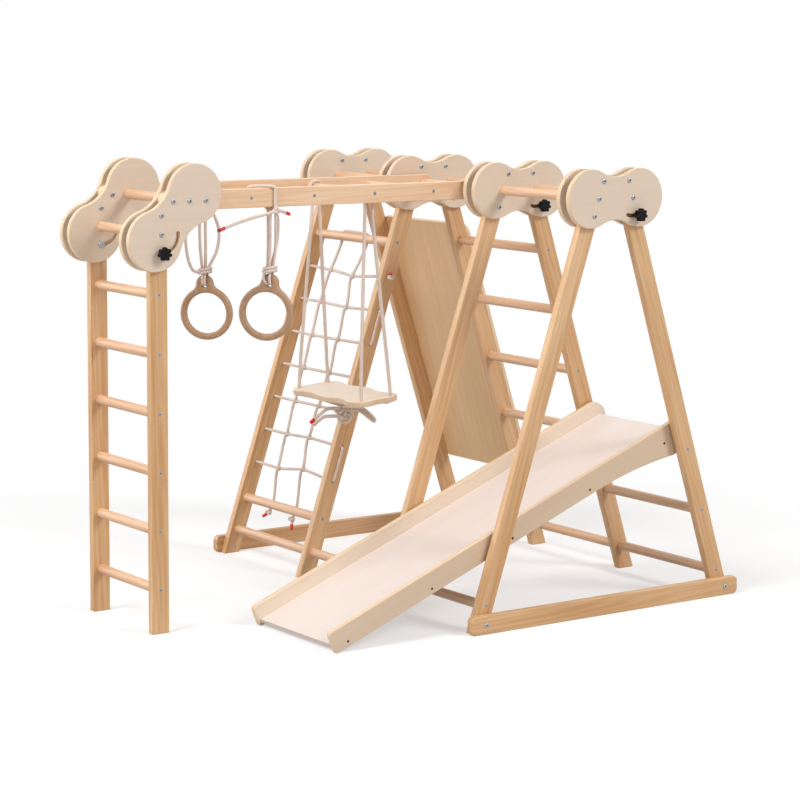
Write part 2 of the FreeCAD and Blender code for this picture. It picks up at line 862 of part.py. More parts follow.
rail_span = rail_spacing - d.rail_thick
overhead_x = [ridge_x - d.pivot_half - (step + 1) * d.overhead_pitch for step in range(OVERHEAD_RUNGS)]
ladder_z = [ladder_rung_z(step) for step in range(LADDER_RUNGS)]
ladder_screws = Screws(d.screw_radius, d.screw_head_radius, d.screw_head_depth)
for out, name in SIDES:
    face = out * (rail_y + d.rail_thick / 2)
    for x in overhead_x:
        overhead_screws.drive(rails[out], x, d.pivot_height, face, out, d.rail_thick, d.screw_bite)
    for z in ladder_z:
        ladder_screws.drive(posts[out], ladder_x, z, face, out, d.leg_thick, d.screw_bite)
start = -rail_span / 2
overhead = [rung(x, d.pivot_height, start, rail_span, pilot, pilot_depth) for x in overhead_x]
node("overhead_rungs", group(overhead))
node("ladder_rungs", group([rung(ladder_x, z, start, rail_span, pilot, pilot_depth) for z in ladder_z]))
node("overhead_screws", group(overhead_screws.pieces))
node("ladder_screws", group(ladder_screws.pieces))

ladder_hub_holes = [
    (hub_diag, hub_diag, pivot_hole),
    (-hub_diag, -hub_diag, pivot_hole),
    (hub_diag - d.bolt_pitch, hub_diag, bolt_hole),
    (hub_diag + d.bolt_pitch, hub_diag, bolt_hole),
    (-hub_diag, d.bolt_pitch - hub_diag, bolt_hole),
]
ladder_bolts, ladder_studs = [], []
for out, name in SIDES:
    y = out * rail_y
    plates = []
    for far_face in (y + hub_half, y - hub_gap_half):
        corner = (-hub_diag, -hub_diag)
        turn = d.ladder_hub_turn.value
        plate = hub_plate(turn, ladder_hub_holes, corner, DOWN, DOWN + 2 * turn)
        plates.append(upright_board(plate, ladder_hub_x, far_face, ladder_hub_z))
    node("ladder_hub_" + name, group(plates))
    for x in (upper_dowel_x - d.bolt_pitch, upper_dowel_x + d.bolt_pitch):
        ladder_bolts.append(through_bolt(x, d.pivot_height, y, [rails[out]]))
    ladder_bolts.append(through_bolt(ladder_x, ladder_pivot_z + d.bolt_pitch, y, []))
    face = y + out * hub_half
    for x, z, timber in ((upper_dowel_x, d.pivot_height, rails[out]), (ladder_x, ladder_pivot_z, posts[out])):
        ladder_bolts.append(end_bolt(x, z, face, out, 2 * hub_half, d.dowel_bite, [timber]))
    knob_z = ladder_pivot_z - d.bolt_pitch
    ladder_studs.append(stud(ladder_x, knob_z, y, out, posts[out]))
    node("ladder_knob_" + name, star_knob(ladder_x, knob_z, y, out))
node("ladder_hub_bolts", group(ladder_bolts))
node("ladder_studs", group(ladder_studs))
ladder_dowel = rail_spacing - 2 * hub_half
node("ladder_dowels", group([
    rung(x, z, -ladder_dowel / 2, ladder_dowel, pivot_hole, bite)
    for x, z in ((upper_dowel_x, d.pivot_height), (ladder_x, ladder_pivot_z))
]))
for out, name in SIDES:
    node("overhead_rail_" + name, rails[out].shaped())
    node("ladder_post_" + name, posts[out].shaped())


# Base bars across the end frames
bar_bolts = []
for out, frame, name in ((-1, 4, "near"), (1, 1, "far")):
    inner = frame_y(frame) + out * (d.leg_thick / 2 + d.leg_play)
    block = box(2 * bar_half, d.bar_thick, d.bar_height)
    place(block, ridge_x - bar_half, inner if out > 0 else inner - d.bar_thick, ZERO)
    bar = Timber(round_corners(block, Y_AXIS, d.bar_corner))
    z = d.bar_height / 2
    for side in (-1, 1):
        x = leg_x(side, z)
        timber = legs[side, frame]
        bar.bores.append(rod_out(x, z, inner, out, -d.cut_over, d.bar_thick + d.cut_over, bolt_hole))
        timber.bores.append(rod_out(x, z, inner, -out, ZERO, d.leg_thick + d.cut_over, bolt_hole))
        depth = d.bar_thick + d.leg_play + d.leg_thick if side < 0 else d.bar_thick
        face = inner + out * d.bar_thick
        shank = rod_out(x, z, face, -out, ZERO, depth, d.bolt_radius)
        cap = rod_out(x, z, face, out, ZERO, d.bolt_head_height, d.bolt_head_radius)
        bar_bolts.append(fuse([shank, cap]))
    node("base_bar_" + name, bar.shaped())
node("base_bar_bolts", group(bar_bolts))


# Climbing board on the outer edges of the two far right legs
board_high = (d.pivot_height - d.board_top_drop - d.board_foot_z) / cos(d.lean)
board_wide = d.frame_pitch + d.leg_thick
board_block = box(d.board_thick, board_wide, board_high)
half = d.leg_width / 2
out_x, out_z = half * cos(d.lean), half * sin(d.lean)
board_x = leg_x(1, d.board_foot_z) + out_x
board_y = frame_y(2) - d.leg_thick / 2
place(board_block, board_x, board_y, d.board_foot_z + out_z, Y_AXIS, -d.lean)
normal = Vec(cos(d.lean).value, 0, sin(d.lean).value)
board = round_corners(board_block, normal, d.board_corner)


def board_peg(share, y, start, length, first, second=None):
    """Peg square to the board, from a depth below its outer face inward, tapered if it has two radii."""
    if second is None:
        peg = bind(doc.addObject("Part::Cylinder", "Peg"), Radius=first, Height=length)
    else:
        peg = bind(doc.addObject("Part::Cone", "Peg"), Radius1=first, Radius2=second, Height=length)
    up = share * board_high
    away = d.board_thick - start
    x = board_x + away * cos(d.lean) - up * sin(d.lean)
    z = d.board_foot_z + out_z + away * sin(d.lean) + up * cos(d.lean)
    return place(peg, x, y, z, Y_AXIS, TO_Y - d.lean)


bores, sinks = [], []
for frame in (1, 2):
    for share in BOARD_SCREW_SHARES:
        y = frame_y(frame)
        sunk, long_enough = d.screw_head_depth, d.screw_bite
        head = board_peg(share, y, ZERO, sunk, d.screw_head_radius, d.screw_radius)
        tip = board_peg(share, y, sunk, long_enough, d.screw_radius)
        right_screws.pieces.append(fuse([head, tip]))
        bores.append(board_peg(share, y, -d.cut_over, d.cut_over + d.board_thick + d.cut_over, pilot))
        sinks.append(board_peg(share, y, ZERO, sunk, d.screw_head_radius + d.run_clear, pilot))
        legs[1, frame].sinks.append(board_peg(share, y, sunk, long_enough + d.run_clear, pilot))
node("climbing_board", cut(cut(board, bores), sinks))
node("right_screws", group(right_screws.pieces))


# Slide: s runs down it from the rung it hooks on, n is square to it and up
slope_sin, slope_cos = sin(d.slide_angle), cos(d.slide_angle)
side_low = d.side_rise - d.side_height
foot_drop = hook_z + (side_low + d.side_corner) * slope_cos - d.side_corner
slide_end = d.side_corner + foot_drop / slope_sin
notch = rung_radius + d.hook_clear


def on_slide(s, n):
    """Place in X and Z measured from the hook rung."""
    return Vec(-s * slope_cos.value - n * slope_sin.value, n * slope_cos.value - s * slope_sin.value, 0)


def slide_side_outline():
    lip, low, top = -d.hook_depth.value, side_low.value, d.side_rise.value
    tail, tail_corner = -d.side_tail.value, d.side_tail_corner.value
    end, corner, grip = slide_end.value, d.side_corner.value, notch.value
    first, last = d.belly_start.value, d.belly_end.value
    sag = low - lip
    belly = ((last - first) ** 2 + sag ** 2) / (2 * sag)

    def line(a, b):
        return Part.LineSegment(on_slide(*a), on_slide(*b))

    def arc(centre, a, b, through):
        return arc_between(on_slide(*centre), on_slide(*a), on_slide(*b), on_slide(*through))

    tail_centre = (tail + tail_corner, top - tail_corner)
    bow_middle = (first + last) / 2
    bow_rise = low - belly + math.sqrt(belly ** 2 - (last - bow_middle) ** 2)
    return [
        line((tail + tail_corner, top), (end - corner, top)),
        arc((end - corner, top - corner), (end - corner, top), (end, top - corner), (end, top)),
        line((end, top - corner), (end, low + corner)),
        arc((end - corner, low + corner), (end, low + corner), (end - corner, low), (end, low)),
        line((end - corner, low), (last, low)),
        arc((last, low - belly), (last, low), (first, lip), (bow_middle, bow_rise)),
        line((first, lip), (grip, lip)),
        line((grip, lip), (grip, 0)),
        arc((0, 0), (grip, 0), (-grip, 0), (0, grip)),
        line((-grip, 0), (-grip, lip)),
        line((-grip, lip), (tail, lip)),
        line((tail, lip), (tail, top - tail_corner)),
        arc(tail_centre, (tail, top - tail_corner), (tail + tail_corner, top), (tail, top)),
    ]


slide_y = (frame_y(3) + frame_y(4)) / 2
slide_half = slide_width / 2
slide_sides = {}
for out, name in SIDES:
    body = sketch_pad([slide_side_outline()], d.side_thick)
    far_face = slide_y + slide_half if out > 0 else slide_y - slide_half + d.side_thick
    slide_sides[out] = Timber(upright_board(body, hook_x, far_face, hook_z))
deck_low = d.side_rise - d.deck_drop - d.deck_thick
deck_high_end = -d.side_tail / 2
deck_low_end = slide_end - d.deck_end
deck_wide = slide_width - 2 * d.side_thick
deck_block = box(deck_low_end - deck_high_end, deck_wide, d.deck_thick)
deck_x = hook_x - deck_low_end * slope_cos - deck_low * slope_sin
deck_z = hook_z - deck_low_end * slope_sin + deck_low * slope_cos
deck = Timber(place(deck_block, deck_x, slide_y - deck_wide / 2, deck_z, Y_AXIS, -d.slide_angle))
slide_screws = Screws(d.slide_screw_radius, d.slide_screw_head, d.slide_screw_depth)
screw_n = deck_low + d.deck_thick / 2
screw_pitch = (slide_end - d.slide_screw_start - d.slide_screw_end) / (SLIDE_SCREWS - 1)
for index in range(SLIDE_SCREWS):
    s = d.slide_screw_start + index * screw_pitch
    x = hook_x - s * slope_cos - screw_n * slope_sin
    z = hook_z - s * slope_sin + screw_n * slope_cos
    for out, name in SIDES:
        face = slide_y + out * slide_half
        slide_screws.drive(slide_sides[out], x, z, face, out, d.side_thick, d.slide_screw_bite)
        deep = d.slide_screw_bite + d.run_clear
        inner = face - out * d.side_thick
        deck.bores.append(rod_out(x, z, inner, -out, ZERO, deep, d.slide_screw_radius + d.run_clear))
for out, name in SIDES:
    node("slide_side_" + name, slide_sides[out].shaped())
node("slide_deck", deck.shaped())
node("slide_screws", group(slide_screws.pieces))


# Climbing net between the two far left legs
for row in range(NET_ROWS):
    for frame in (1, 2):
        z = net_row_z(row)
        y = frame_y(frame) - d.leg_thick
        legs[-1, frame].bores.append(rod(leg_x(-1, z), z, y, 2 * d.leg_thick, d.net_hole_radius))
thin = d.net_rope_radius.value
off_face = d.leg_thick.value / 2 + d.rope_gap.value + thin
far_y, near_y = frame_y(1).value + off_face, frame_y(2).value - off_face
leg_up = Vec(sin(d.lean).value, 0, cos(d.lean).value)
leg_out = Vec(-cos(d.lean).value, 0, sin(d.lean).value)


def net_point(z, y, out=0):
    """Place on the net at a height on the leg line, out from the plane of the legs."""
    return Vec(leg_x(-1, z).value, y, z.value) + leg_out * out


route = []
for index, row in enumerate(reversed(range(NET_ROWS))):
    first, last = (near_y, far_y) if index % 2 == 0 else (far_y, near_y)
    route += [net_point(net_row_z(row), first), net_point(net_row_z(row), last)]
lacing = rope("net lacing", route, thin, d.net_hole_radius.value)
ball = d.net_end_knot_radius.value
beyond = Vec(0, ball - thin, 0)
knots = [knot(end, ball, ball) for end in (route[0] - beyond, route[-1] + beyond)]
ball = d.net_knot_radius.value
node("net_lacing", solid(joined([lacing] + knots)))

wrap = (rung_radius + d.rope_gap).value + thin
beside = 2 * thin + d.rope_gap.value
top_rung = right_rung_z(RIGHT_RUNGS - 1)
tubes, saddles = [], []
for index, (top_share, foot_share) in enumerate(NET_UPRIGHT_SHARES, 1):
    top_y = frame_y(1).value - d.leg_thick.value / 2 - top_share * clear_span.value
    foot_y = frame_y(1).value - d.leg_thick.value / 2 - foot_share * clear_span.value
    lowest = net_row_z(0)

    def upright_y(z):
        share = (top_rung.value - z.value) / (top_rung.value - lowest.value)
        return top_y + share * (foot_y - top_y)

    axle_top = net_point(top_rung, top_y)
    knot_top = axle_top - leg_up * (wrap + ball / 2) + leg_out * beside
    first = net_point(lowest, foot_y, beside) - leg_up * ball
    axle = net_point(d.net_rung_z, foot_y)
    leave = tangent_point(first, axle, wrap, -1)
    knot_low = axle - leg_up * (wrap + ball) - leg_out * thin
    again = tangent_point(knot_low, axle, wrap, 1)
    round_middle = axle + (leave + again - axle * 2).normalize() * wrap
    edges = [
        Part.LineSegment(knot_top, first).toShape(),
        Part.LineSegment(first, leave).toShape(),
        Part.Arc(leave, round_middle, again).toShape(),
        Part.LineSegment(again, knot_low).toShape(),
    ]
    tubes += [sweep(edges[:1], thin)[0], sweep(edges[1:], thin)[0]]
    tubes.append(Part.makeSphere(thin * ELBOW_SHARE, first))
    tail = knot_low - leg_up * d.net_tail.value + leg_out * ball
    tubes.append(sweep([Part.LineSegment(knot_low, tail).toShape()], thin)[0])
    for middle, shift_y in ((axle_top, 0), (axle, beside)):
        tubes.append(Part.makeTorus(wrap, thin, middle + Vec(0, shift_y, 0), Y_AXIS))
    tubes.append(knot(knot_top, ball, ball))
    tubes.append(knot(knot_low + Vec(0, beside / 2, 0), ball, ball))
    for row in range(NET_ROWS):
        z = net_row_z(row)
        tubes.append(knot(net_point(z, upright_y(z), beside / 2), ball, ball * KNOT_SHARE))
    saddles.append(axle_top + (leg_up - leg_out).normalize() * (wrap + thin / 2))
overlap = Vec(0, thin / 2, 0)
tubes.append(sweep([Part.LineSegment(saddles[0] + overlap, saddles[1] - overlap).toShape()], thin)[0])
node("net_uprights", solid(joined(tubes)))
for (side, frame), timber in legs.items():
    node("%s_leg_%d" % ("left" if side < 0 else "right", frame), timber.shaped())


# Rings on ropes under the overhead rails
thick = d.rope_radius.value
rail_bottom = (d.pivot_height - d.rail_height / 2).value
rail_top = (d.pivot_height + d.rail_height / 2).value
hook_radius = 2 * thick + d.hook_gap.value
hinge_z = rail_bottom - d.rope_gap.value - thick - hook_radius
print("ring hinge height %.2f" % hinge_z)
tab_top = d.ring_tab_rise.value + d.ring_tab_radius.value
loop_major = (tab_top - d.ring_hole_rise.value) / 2 + thick


def ring_hitch(name, x, y, tails):
    """Rope slantwise over an overhead rail and tied below its front, with free tails."""
    half_wide = d.rail_thick.value / 2 + d.rope_gap.value + thick
    top = rail_top + d.rope_gap.value + thick
    lift = d.hitch_lift.value
    front = Vec(x, y - half_wide, top)
    back = Vec(x - d.hitch_skew.value, y + half_wide + lift, top + lift)
    over, under = (front + back) / 2, Vec(x, y, hinge_z)
    back_half = [over, back, Vec(x, y + half_wide, hinge_z), under]
    front_half = [under, Vec(x, y - half_wide, hinge_z), front, over]
    ball = 2 * thick
    tie = Vec(x, y - half_wide - thick / 2, rail_bottom - ball)
    shapes = [rope(name, points, thick, d.rope_bend.value) for points in (back_half, front_half)]
    shapes.append(knot(tie, ball, ball))
    for reach, drop in tails:
        low = tie + Vec(reach, 0, ball - drop)
        middle = tie + Vec(reach / 2, 0, (ball - drop) * TAIL_SHARE)
        shapes.append(rope(name + " tail", [tie, middle, low], thick))
    return solid(joined(shapes))


def ring_outline():
    rise = Vec(0, d.ring_tab_rise.value, 0)
    circles = [(Vec(0, 0, 0), d.ring_radius.value), (rise, d.ring_tab_radius.value)]
    bore = [circle(0, 0, d.ring_bore)]
    hole = [circle(0, d.ring_hole_rise, d.ring_hole_radius)]
    return [lobed_outline(circles, d.ring_tab_blend.value), bore, hole]


def ring_rope(name, x, y, ring_z, shift, bulges):
    """Two hairpins over the hitch, a knot to one side and the loop through the ring's tab.

    Bulges are (left, right) pairs.
    """
    hole_z = ring_z + d.ring_hole_rise.value
    knot_z = ring_z + tab_top + d.rope_gap.value + d.ring_knot_height.value
    low = knot_z + HAIRPIN_SHARE * (hinge_z - knot_z)
    shapes = []
    for step, spread in zip((-1, 1), bulges):
        at_y = y + step * (thick + d.hook_gap.value)
        saddle = Vec(x, at_y, hinge_z)
        leaves = []
        for side, bulge in zip((-1, 1), spread):
            foot = Vec(x + shift + side * hook_radius / 2, at_y, knot_z)
            slant = Vec(side, 0, 1) * (hook_radius * math.sqrt(0.5))
            leave = saddle + (slant if bulge else Vec(side * hook_radius, 0, 0))
            outer = x + side * (hook_radius + bulge)
            down = abs(outer - leave.x)
            wide = [Vec(outer, at_y, leave.z - down)] if bulge else []
            shapes.append(rope(name, [leave] + wide + [Vec(outer, at_y, low), foot], thick))
            leaves.append(leave)
        over = Part.Arc(leaves[0], saddle + Vec(0, 0, hook_radius), leaves[1]).toShape()
        shapes.append(sweep([over], thick)[0])
    turn = math.radians(d.ring_turn.value)
    facing = Vec(-math.cos(turn), -math.sin(turn), 0)
    shapes.append(knot(Vec(x + shift, y, knot_z), d.ring_knot_radius.value, d.ring_knot_height.value))
    loop_axis = facing.cross(Z_AXIS)
    shapes.append(Part.makeTorus(loop_major, thick, Vec(x + shift, y, hole_z + loop_major), loop_axis))
    return solid(joined(shapes))


tails = [(-d.tail_long.value, d.tail_long_drop.value), (d.tail_short.value, d.tail_short_drop.value)]
straight = (0, 0)
near_bulges = [straight, (0, d.near_bulge.value)]
far_bulges = [(d.far_bulge_left.value, d.far_bulge_right.value), straight]
ring_plan = [
    (-1, "near", d.near_ring_x, d.near_ring_drop, d.near_ring_lean, d.near_knot_shift, near_bulges),
    (1, "far", d.far_ring_x, d.far_ring_drop, d.far_ring_lean, d.far_knot_shift, far_bulges),
]
for out, name, reach, drop, ring_lean, knot_shift, bulges in ring_plan:
    x, y = (ridge_x - d.pivot_half - reach).value, (out * rail_y).value
    ring_z, shift = (d.pivot_height - drop).value, knot_shift.value
    body = sketch_pad(ring_outline(), d.ring_thick, [(1, d.ring_tab_radius), (4, d.ring_bore)])
    upright = FreeCAD.Rotation(Z_AXIS, TO_Y + d.ring_turn.value) * FreeCAD.Rotation(X_AXIS, -TO_Y)
    spin = upright * FreeCAD.Rotation(Z_AXIS, ring_lean.value)
    hole = Vec(0, d.ring_hole_rise.value, d.ring_thick.value / 2)
    hung = Vec(x + shift, y, ring_z + d.ring_hole_rise.value)
    body.Placement = FreeCAD.Placement(hung - spin.multVec(hole), spin)
    node("ring_" + name, body)
    node("ring_rope_" + name, ring_rope("ring rope " + name, x, y, ring_z, shift, bulges))
    node("ring_hitch_" + name, ring_hitch("ring hitch " + name, x, y, tails))


# Swing: a lobed seat on two rope loops over an overhead rung, hanging with one long edge a little low
swing_x, swing_y = overhead_x[SWING_RUNG - 1], -d.swing_near
seat_x = swing_x + d.seat_shift
seat_low = d.pivot_height - d.seat_drop - d.seat_thick
seat_half = clear_span / 2 - d.swing_near - d.seat_gap
hole_x, hole_y = d.seat_wide_half - d.seat_hole_side, seat_half - d.seat_hole_end
sling_half = rail_y - d.rail_thick / 2 - d.swing_near - d.rope_radius - d.swing_rope_gap
corner, bulge = d.seat_corner_radius.value, d.seat_side_radius.value
corner_x, corner_y = d.seat_wide_half.value - corner, seat_half.value - corner
bulge_x = d.seat_wide_half.value - bulge
seat_loop = []
for side in (-1, 1):
    seat_loop.append((Vec(side * corner_x, side * corner_y, 0), corner))
    seat_loop.append((Vec(side * bulge_x, 0, 0), bulge))
    seat_loop.append((Vec(side * corner_x, -side * corner_y, 0), corner))
holes = [[circle(x * hole_x, y * hole_y, d.seat_hole_radius)] for x in (-1, 1) for y in (-1, 1)]
outlines = [lobed_outline(seat_loop, d.seat_blend.value)] + holes
seat = sketch_pad(outlines, d.seat_thick, [(1, d.seat_side_radius)])
node("swing_seat", place(seat, seat_x, swing_y, seat_low, Y_AXIS, -d.seat_tilt))


def on_seat(x, y, up):
    """Place from the middle of the seat's lower face, square to it."""
    tilted = FreeCAD.Rotation(Y_AXIS, -d.seat_tilt.value).multVec(Vec(x, y, up))
    return Vec(seat_x.value, swing_y.value, seat_low.value) + tilted


sling = rung_radius.value + d.rope_gap.value + thick
under = -d.rope_gap.value - thick
middle = on_seat(0, 0, under - d.bow_drop.value)
shapes = []
for out in (-1, 1):
    top_y, foot_y = swing_y.value + out * sling_half.value, out * hole_y.value
    axle = Vec(swing_x.value, top_y, d.pivot_height.value)
    touches = []
    for step in (-1, 1):
        foot = on_seat(step * hole_x.value, foot_y, under)
        enter = on_seat(step * hole_x.value, foot_y, d.seat_thick.value + d.swing_side_room.value)
        touch = tangent_point(enter, axle, sling, step)
        touch.y = top_y
        touches.append(touch)
        inward = 1 - UNDER_SHARE
        lies = on_seat(step * hole_x.value * inward, foot_y * inward, under)
        tube = rope("swing strand", [touch, enter, foot, lies, middle], thick, d.seat_hole_radius.value)
        shapes += [tube, Part.makeSphere(thick * ELBOW_SHARE, touch)]
    over = Part.Arc(touches[0], axle + Vec(0, 0, sling), touches[1]).toShape()
    shapes.append(sweep([over], thick)[0])
tie = middle - Vec(0, 0, d.bow_height.value - thick / 2)
shapes.append(knot(tie, d.bow_radius.value, d.bow_height.value))
bow = d.bow_tail.value
for along, across, down in BOW_SHARES:
    low = tie + Vec(bow * along, bow * across, -bow * down)
    bend = tie + Vec(along, across, BOW_LIFT_SHARE) * (bow * BOW_BEND_SHARE)
    shapes.append(rope("bow tail", [tie, bend, low], thick))
loop = d.bow_loop_radius.value
loop_axis = Vec(BOW_SHARES[0][0], BOW_SHARES[0][1], 0).cross(Z_AXIS)
shapes.append(Part.makeTorus(loop, thick, tie - Vec(0, 0, loop), loop_axis))
node("swing_ropes", solid(joined(shapes)))

doc.recompute()
for piece in doc.Objects:
    if "Invalid" in piece.State or "Error" in piece.State:
        raise RuntimeError("%s does not rebuild" % piece.Label)
os.makedirs("parts", exist_ok=True)
for label, piece in nodes.items():
    if piece.Shape.isNull() or not piece.Shape.isValid() or not piece.Shape.Solids:
        raise RuntimeError("%s is not sound" % label)
    piece.Shape.exportStep("parts/%s.step" % label)
print("%d nodes" % len(nodes))
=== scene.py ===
"""Looks of a wooden indoor climber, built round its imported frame. Metres, in the frame's own axes."""
import json
import math

import bmesh
import bpy
from bpy.props import FloatProperty, FloatVectorProperty, IntProperty, PointerProperty
from mathutils import Color, Matrix, Vector

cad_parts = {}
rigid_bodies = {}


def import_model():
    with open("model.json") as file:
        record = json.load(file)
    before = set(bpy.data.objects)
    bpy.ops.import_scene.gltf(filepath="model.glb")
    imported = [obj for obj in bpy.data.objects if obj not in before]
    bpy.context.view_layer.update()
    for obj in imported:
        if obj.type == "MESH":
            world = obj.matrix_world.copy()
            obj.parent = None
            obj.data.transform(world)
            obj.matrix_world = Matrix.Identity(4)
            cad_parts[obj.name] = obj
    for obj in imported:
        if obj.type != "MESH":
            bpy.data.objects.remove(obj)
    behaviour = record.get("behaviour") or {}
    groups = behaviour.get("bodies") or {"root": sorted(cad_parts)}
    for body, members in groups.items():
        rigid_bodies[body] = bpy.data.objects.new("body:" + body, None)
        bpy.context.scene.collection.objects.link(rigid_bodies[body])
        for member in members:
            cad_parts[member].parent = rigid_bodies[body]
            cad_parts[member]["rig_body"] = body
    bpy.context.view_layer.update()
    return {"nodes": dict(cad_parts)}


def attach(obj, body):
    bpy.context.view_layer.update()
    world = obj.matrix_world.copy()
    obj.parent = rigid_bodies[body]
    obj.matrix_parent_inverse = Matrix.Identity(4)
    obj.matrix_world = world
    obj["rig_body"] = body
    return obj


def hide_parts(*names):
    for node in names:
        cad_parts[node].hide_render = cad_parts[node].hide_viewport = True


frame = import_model()

bl_info = {
    "name": "Wooden climber",
    "version": (1, 0, 0),
    "blender": (4, 5, 0),
    "location": "View3D > Sidebar > Climber",
    "description": "Finishes the timber, plywood, hardware and ropes of a wooden indoor climber",
    "category": "Object",
}

# Sizes of the frame that the ropes follow
LEAN = math.radians(18.2)
RIDGE_X = 0.364559
PIVOT_Z = 1.095
PIVOT_HALF = 0.057
RAIL_Y = 0.154
HINGE_Z = 1.0578
SWING_X = -0.073841
SWING_Y = -0.015
SEAT_X = -0.064841
SLIDE_ANGLE = math.radians(21.5)
SEAT_TILT = math.radians(5)
NET_ROPE = 0.007
TOY_ROPE = 0.008
TAB_ROPE = 0.0066
LEG_UP = Vector((math.sin(LEAN), 0, math.cos(LEAN)))
LEG_OUT = Vector((-math.cos(LEAN), 0, math.sin(LEAN)))
ACROSS = Vector((0, 1, 0))

LEFT_LEGS = ["left_leg_1", "left_leg_2", "left_leg_3", "left_leg_4"]
RIGHT_LEGS = ["right_leg_1", "right_leg_2", "right_leg_3", "right_leg_4"]
POSTS = ["ladder_post_near", "ladder_post_far"]
RAILS = ["overhead_rail_near", "overhead_rail_far"]
BARS = ["base_bar_near", "base_bar_far"]
RODS = [
    "left_rungs", "middle_rungs", "slide_rungs", "slide_hook_rung", "overhead_rungs", "ladder_rungs",
    "ridge_dowels_left", "ridge_dowels_right", "ladder_dowels",
]
PLATES = [
    "hub_plates_1", "hub_plates_2", "hub_plates_3", "hub_plates_4", "ladder_hub_near", "ladder_hub_far",
]
BOLTS = ["hub_bolts", "pivot_bolts", "ladder_hub_bolts", "base_bar_bolts"]
SCREWS = ["frame_screws", "right_screws", "overhead_screws", "ladder_screws"]
STUDS = ["frame_studs", "ladder_studs"]
KNOBS = ["knob_1", "knob_2", "knob_3", "knob_4", "ladder_knob_near", "ladder_knob_far"]

WELD = 1e-5
FLAT_ANGLE = math.radians(0.5)
SHARP_ANGLE = math.radians(35)
SMALL_LOOP = 0.02
DOME_STEPS = 3
RING_STEPS = 5
CAP_SHARES = (0.93, 1.005)
CAP_CORNERS = 8
SAME_FACING = 0.999
RECESS_RIM = 0.3
RECESS_DRAFT = 0.08

# Fastener heads, each with the outline of its driver recess
BOLT_HEAD = {"radius": 0.0065, "reach": 0.0029, "sink": 0.0034, "corners": 6, "hollow": 0.13}
STUD_HEAD = {"radius": 0.009, "reach": 0.0028, "sink": 0.0014, "corners": 6, "hollow": 0.13}
SCREW_HEAD = {"radius": 0.005, "reach": 0.0031, "sink": 0.0026, "corners": 4, "hollow": 0.55}
SMALL_HEAD = {"radius": 0.0036, "reach": 0.0019, "sink": 0.0012, "corners": 4, "hollow": 0.62}


def length(name, about, default):
    return FloatProperty(name=name, description=about, default=default, min=0.0, subtype="DISTANCE",
                         unit="LENGTH")


def angle(name, about, degrees):
    return FloatProperty(name=name, description=about, default=math.radians(degrees), subtype="ANGLE",
                         unit="ROTATION")


def amount(name, about, default, least=0.0):
    return FloatProperty(name=name, description=about, default=default, min=least)


def number(name, about, default, least):
    return IntProperty(name=name, description=about, default=default, min=least)


def colour(name, about, default):
    return FloatVectorProperty(name=name, description=about, default=default, min=0.0, max=1.0, size=3,
                               subtype="COLOR_GAMMA")


class ClimberSizes(bpy.types.PropertyGroup):
    timber_round: length("Timber rounding", "Rounding along the edges of legs, rails and bars", 0.0025)
    plywood_round: length("Plywood rounding", "Rounding along the edges of plywood boards", 0.0022)
    ring_round: length("Ring rounding", "Rounding along the edges of the hand rings", 0.0076)
    seat_round: length("Seat rounding", "Rounding along the edges of the swing seat", 0.003)
    deck_round: length("Deck rounding", "Rounding along the edges of the slide deck", 0.001)
    knob_round: length("Knob rounding", "Rounding along the edges of the star knobs", 0.0012)
    head_round: length("Head rounding", "Dome of the bolt heads", 0.0022)
    round_steps: number("Rounding steps", "Facets across a rounded edge", 3, 1)
    strand_count: number("Strands", "Strands laid up in each rope", 3, 2)
    lay_turns: amount("Lay", "Rope diameters to one turn of a strand", 3.4, 1.0)
    tip_length: length("Rope tip", "Length of the red sleeve on a rope's end", 0.0175)


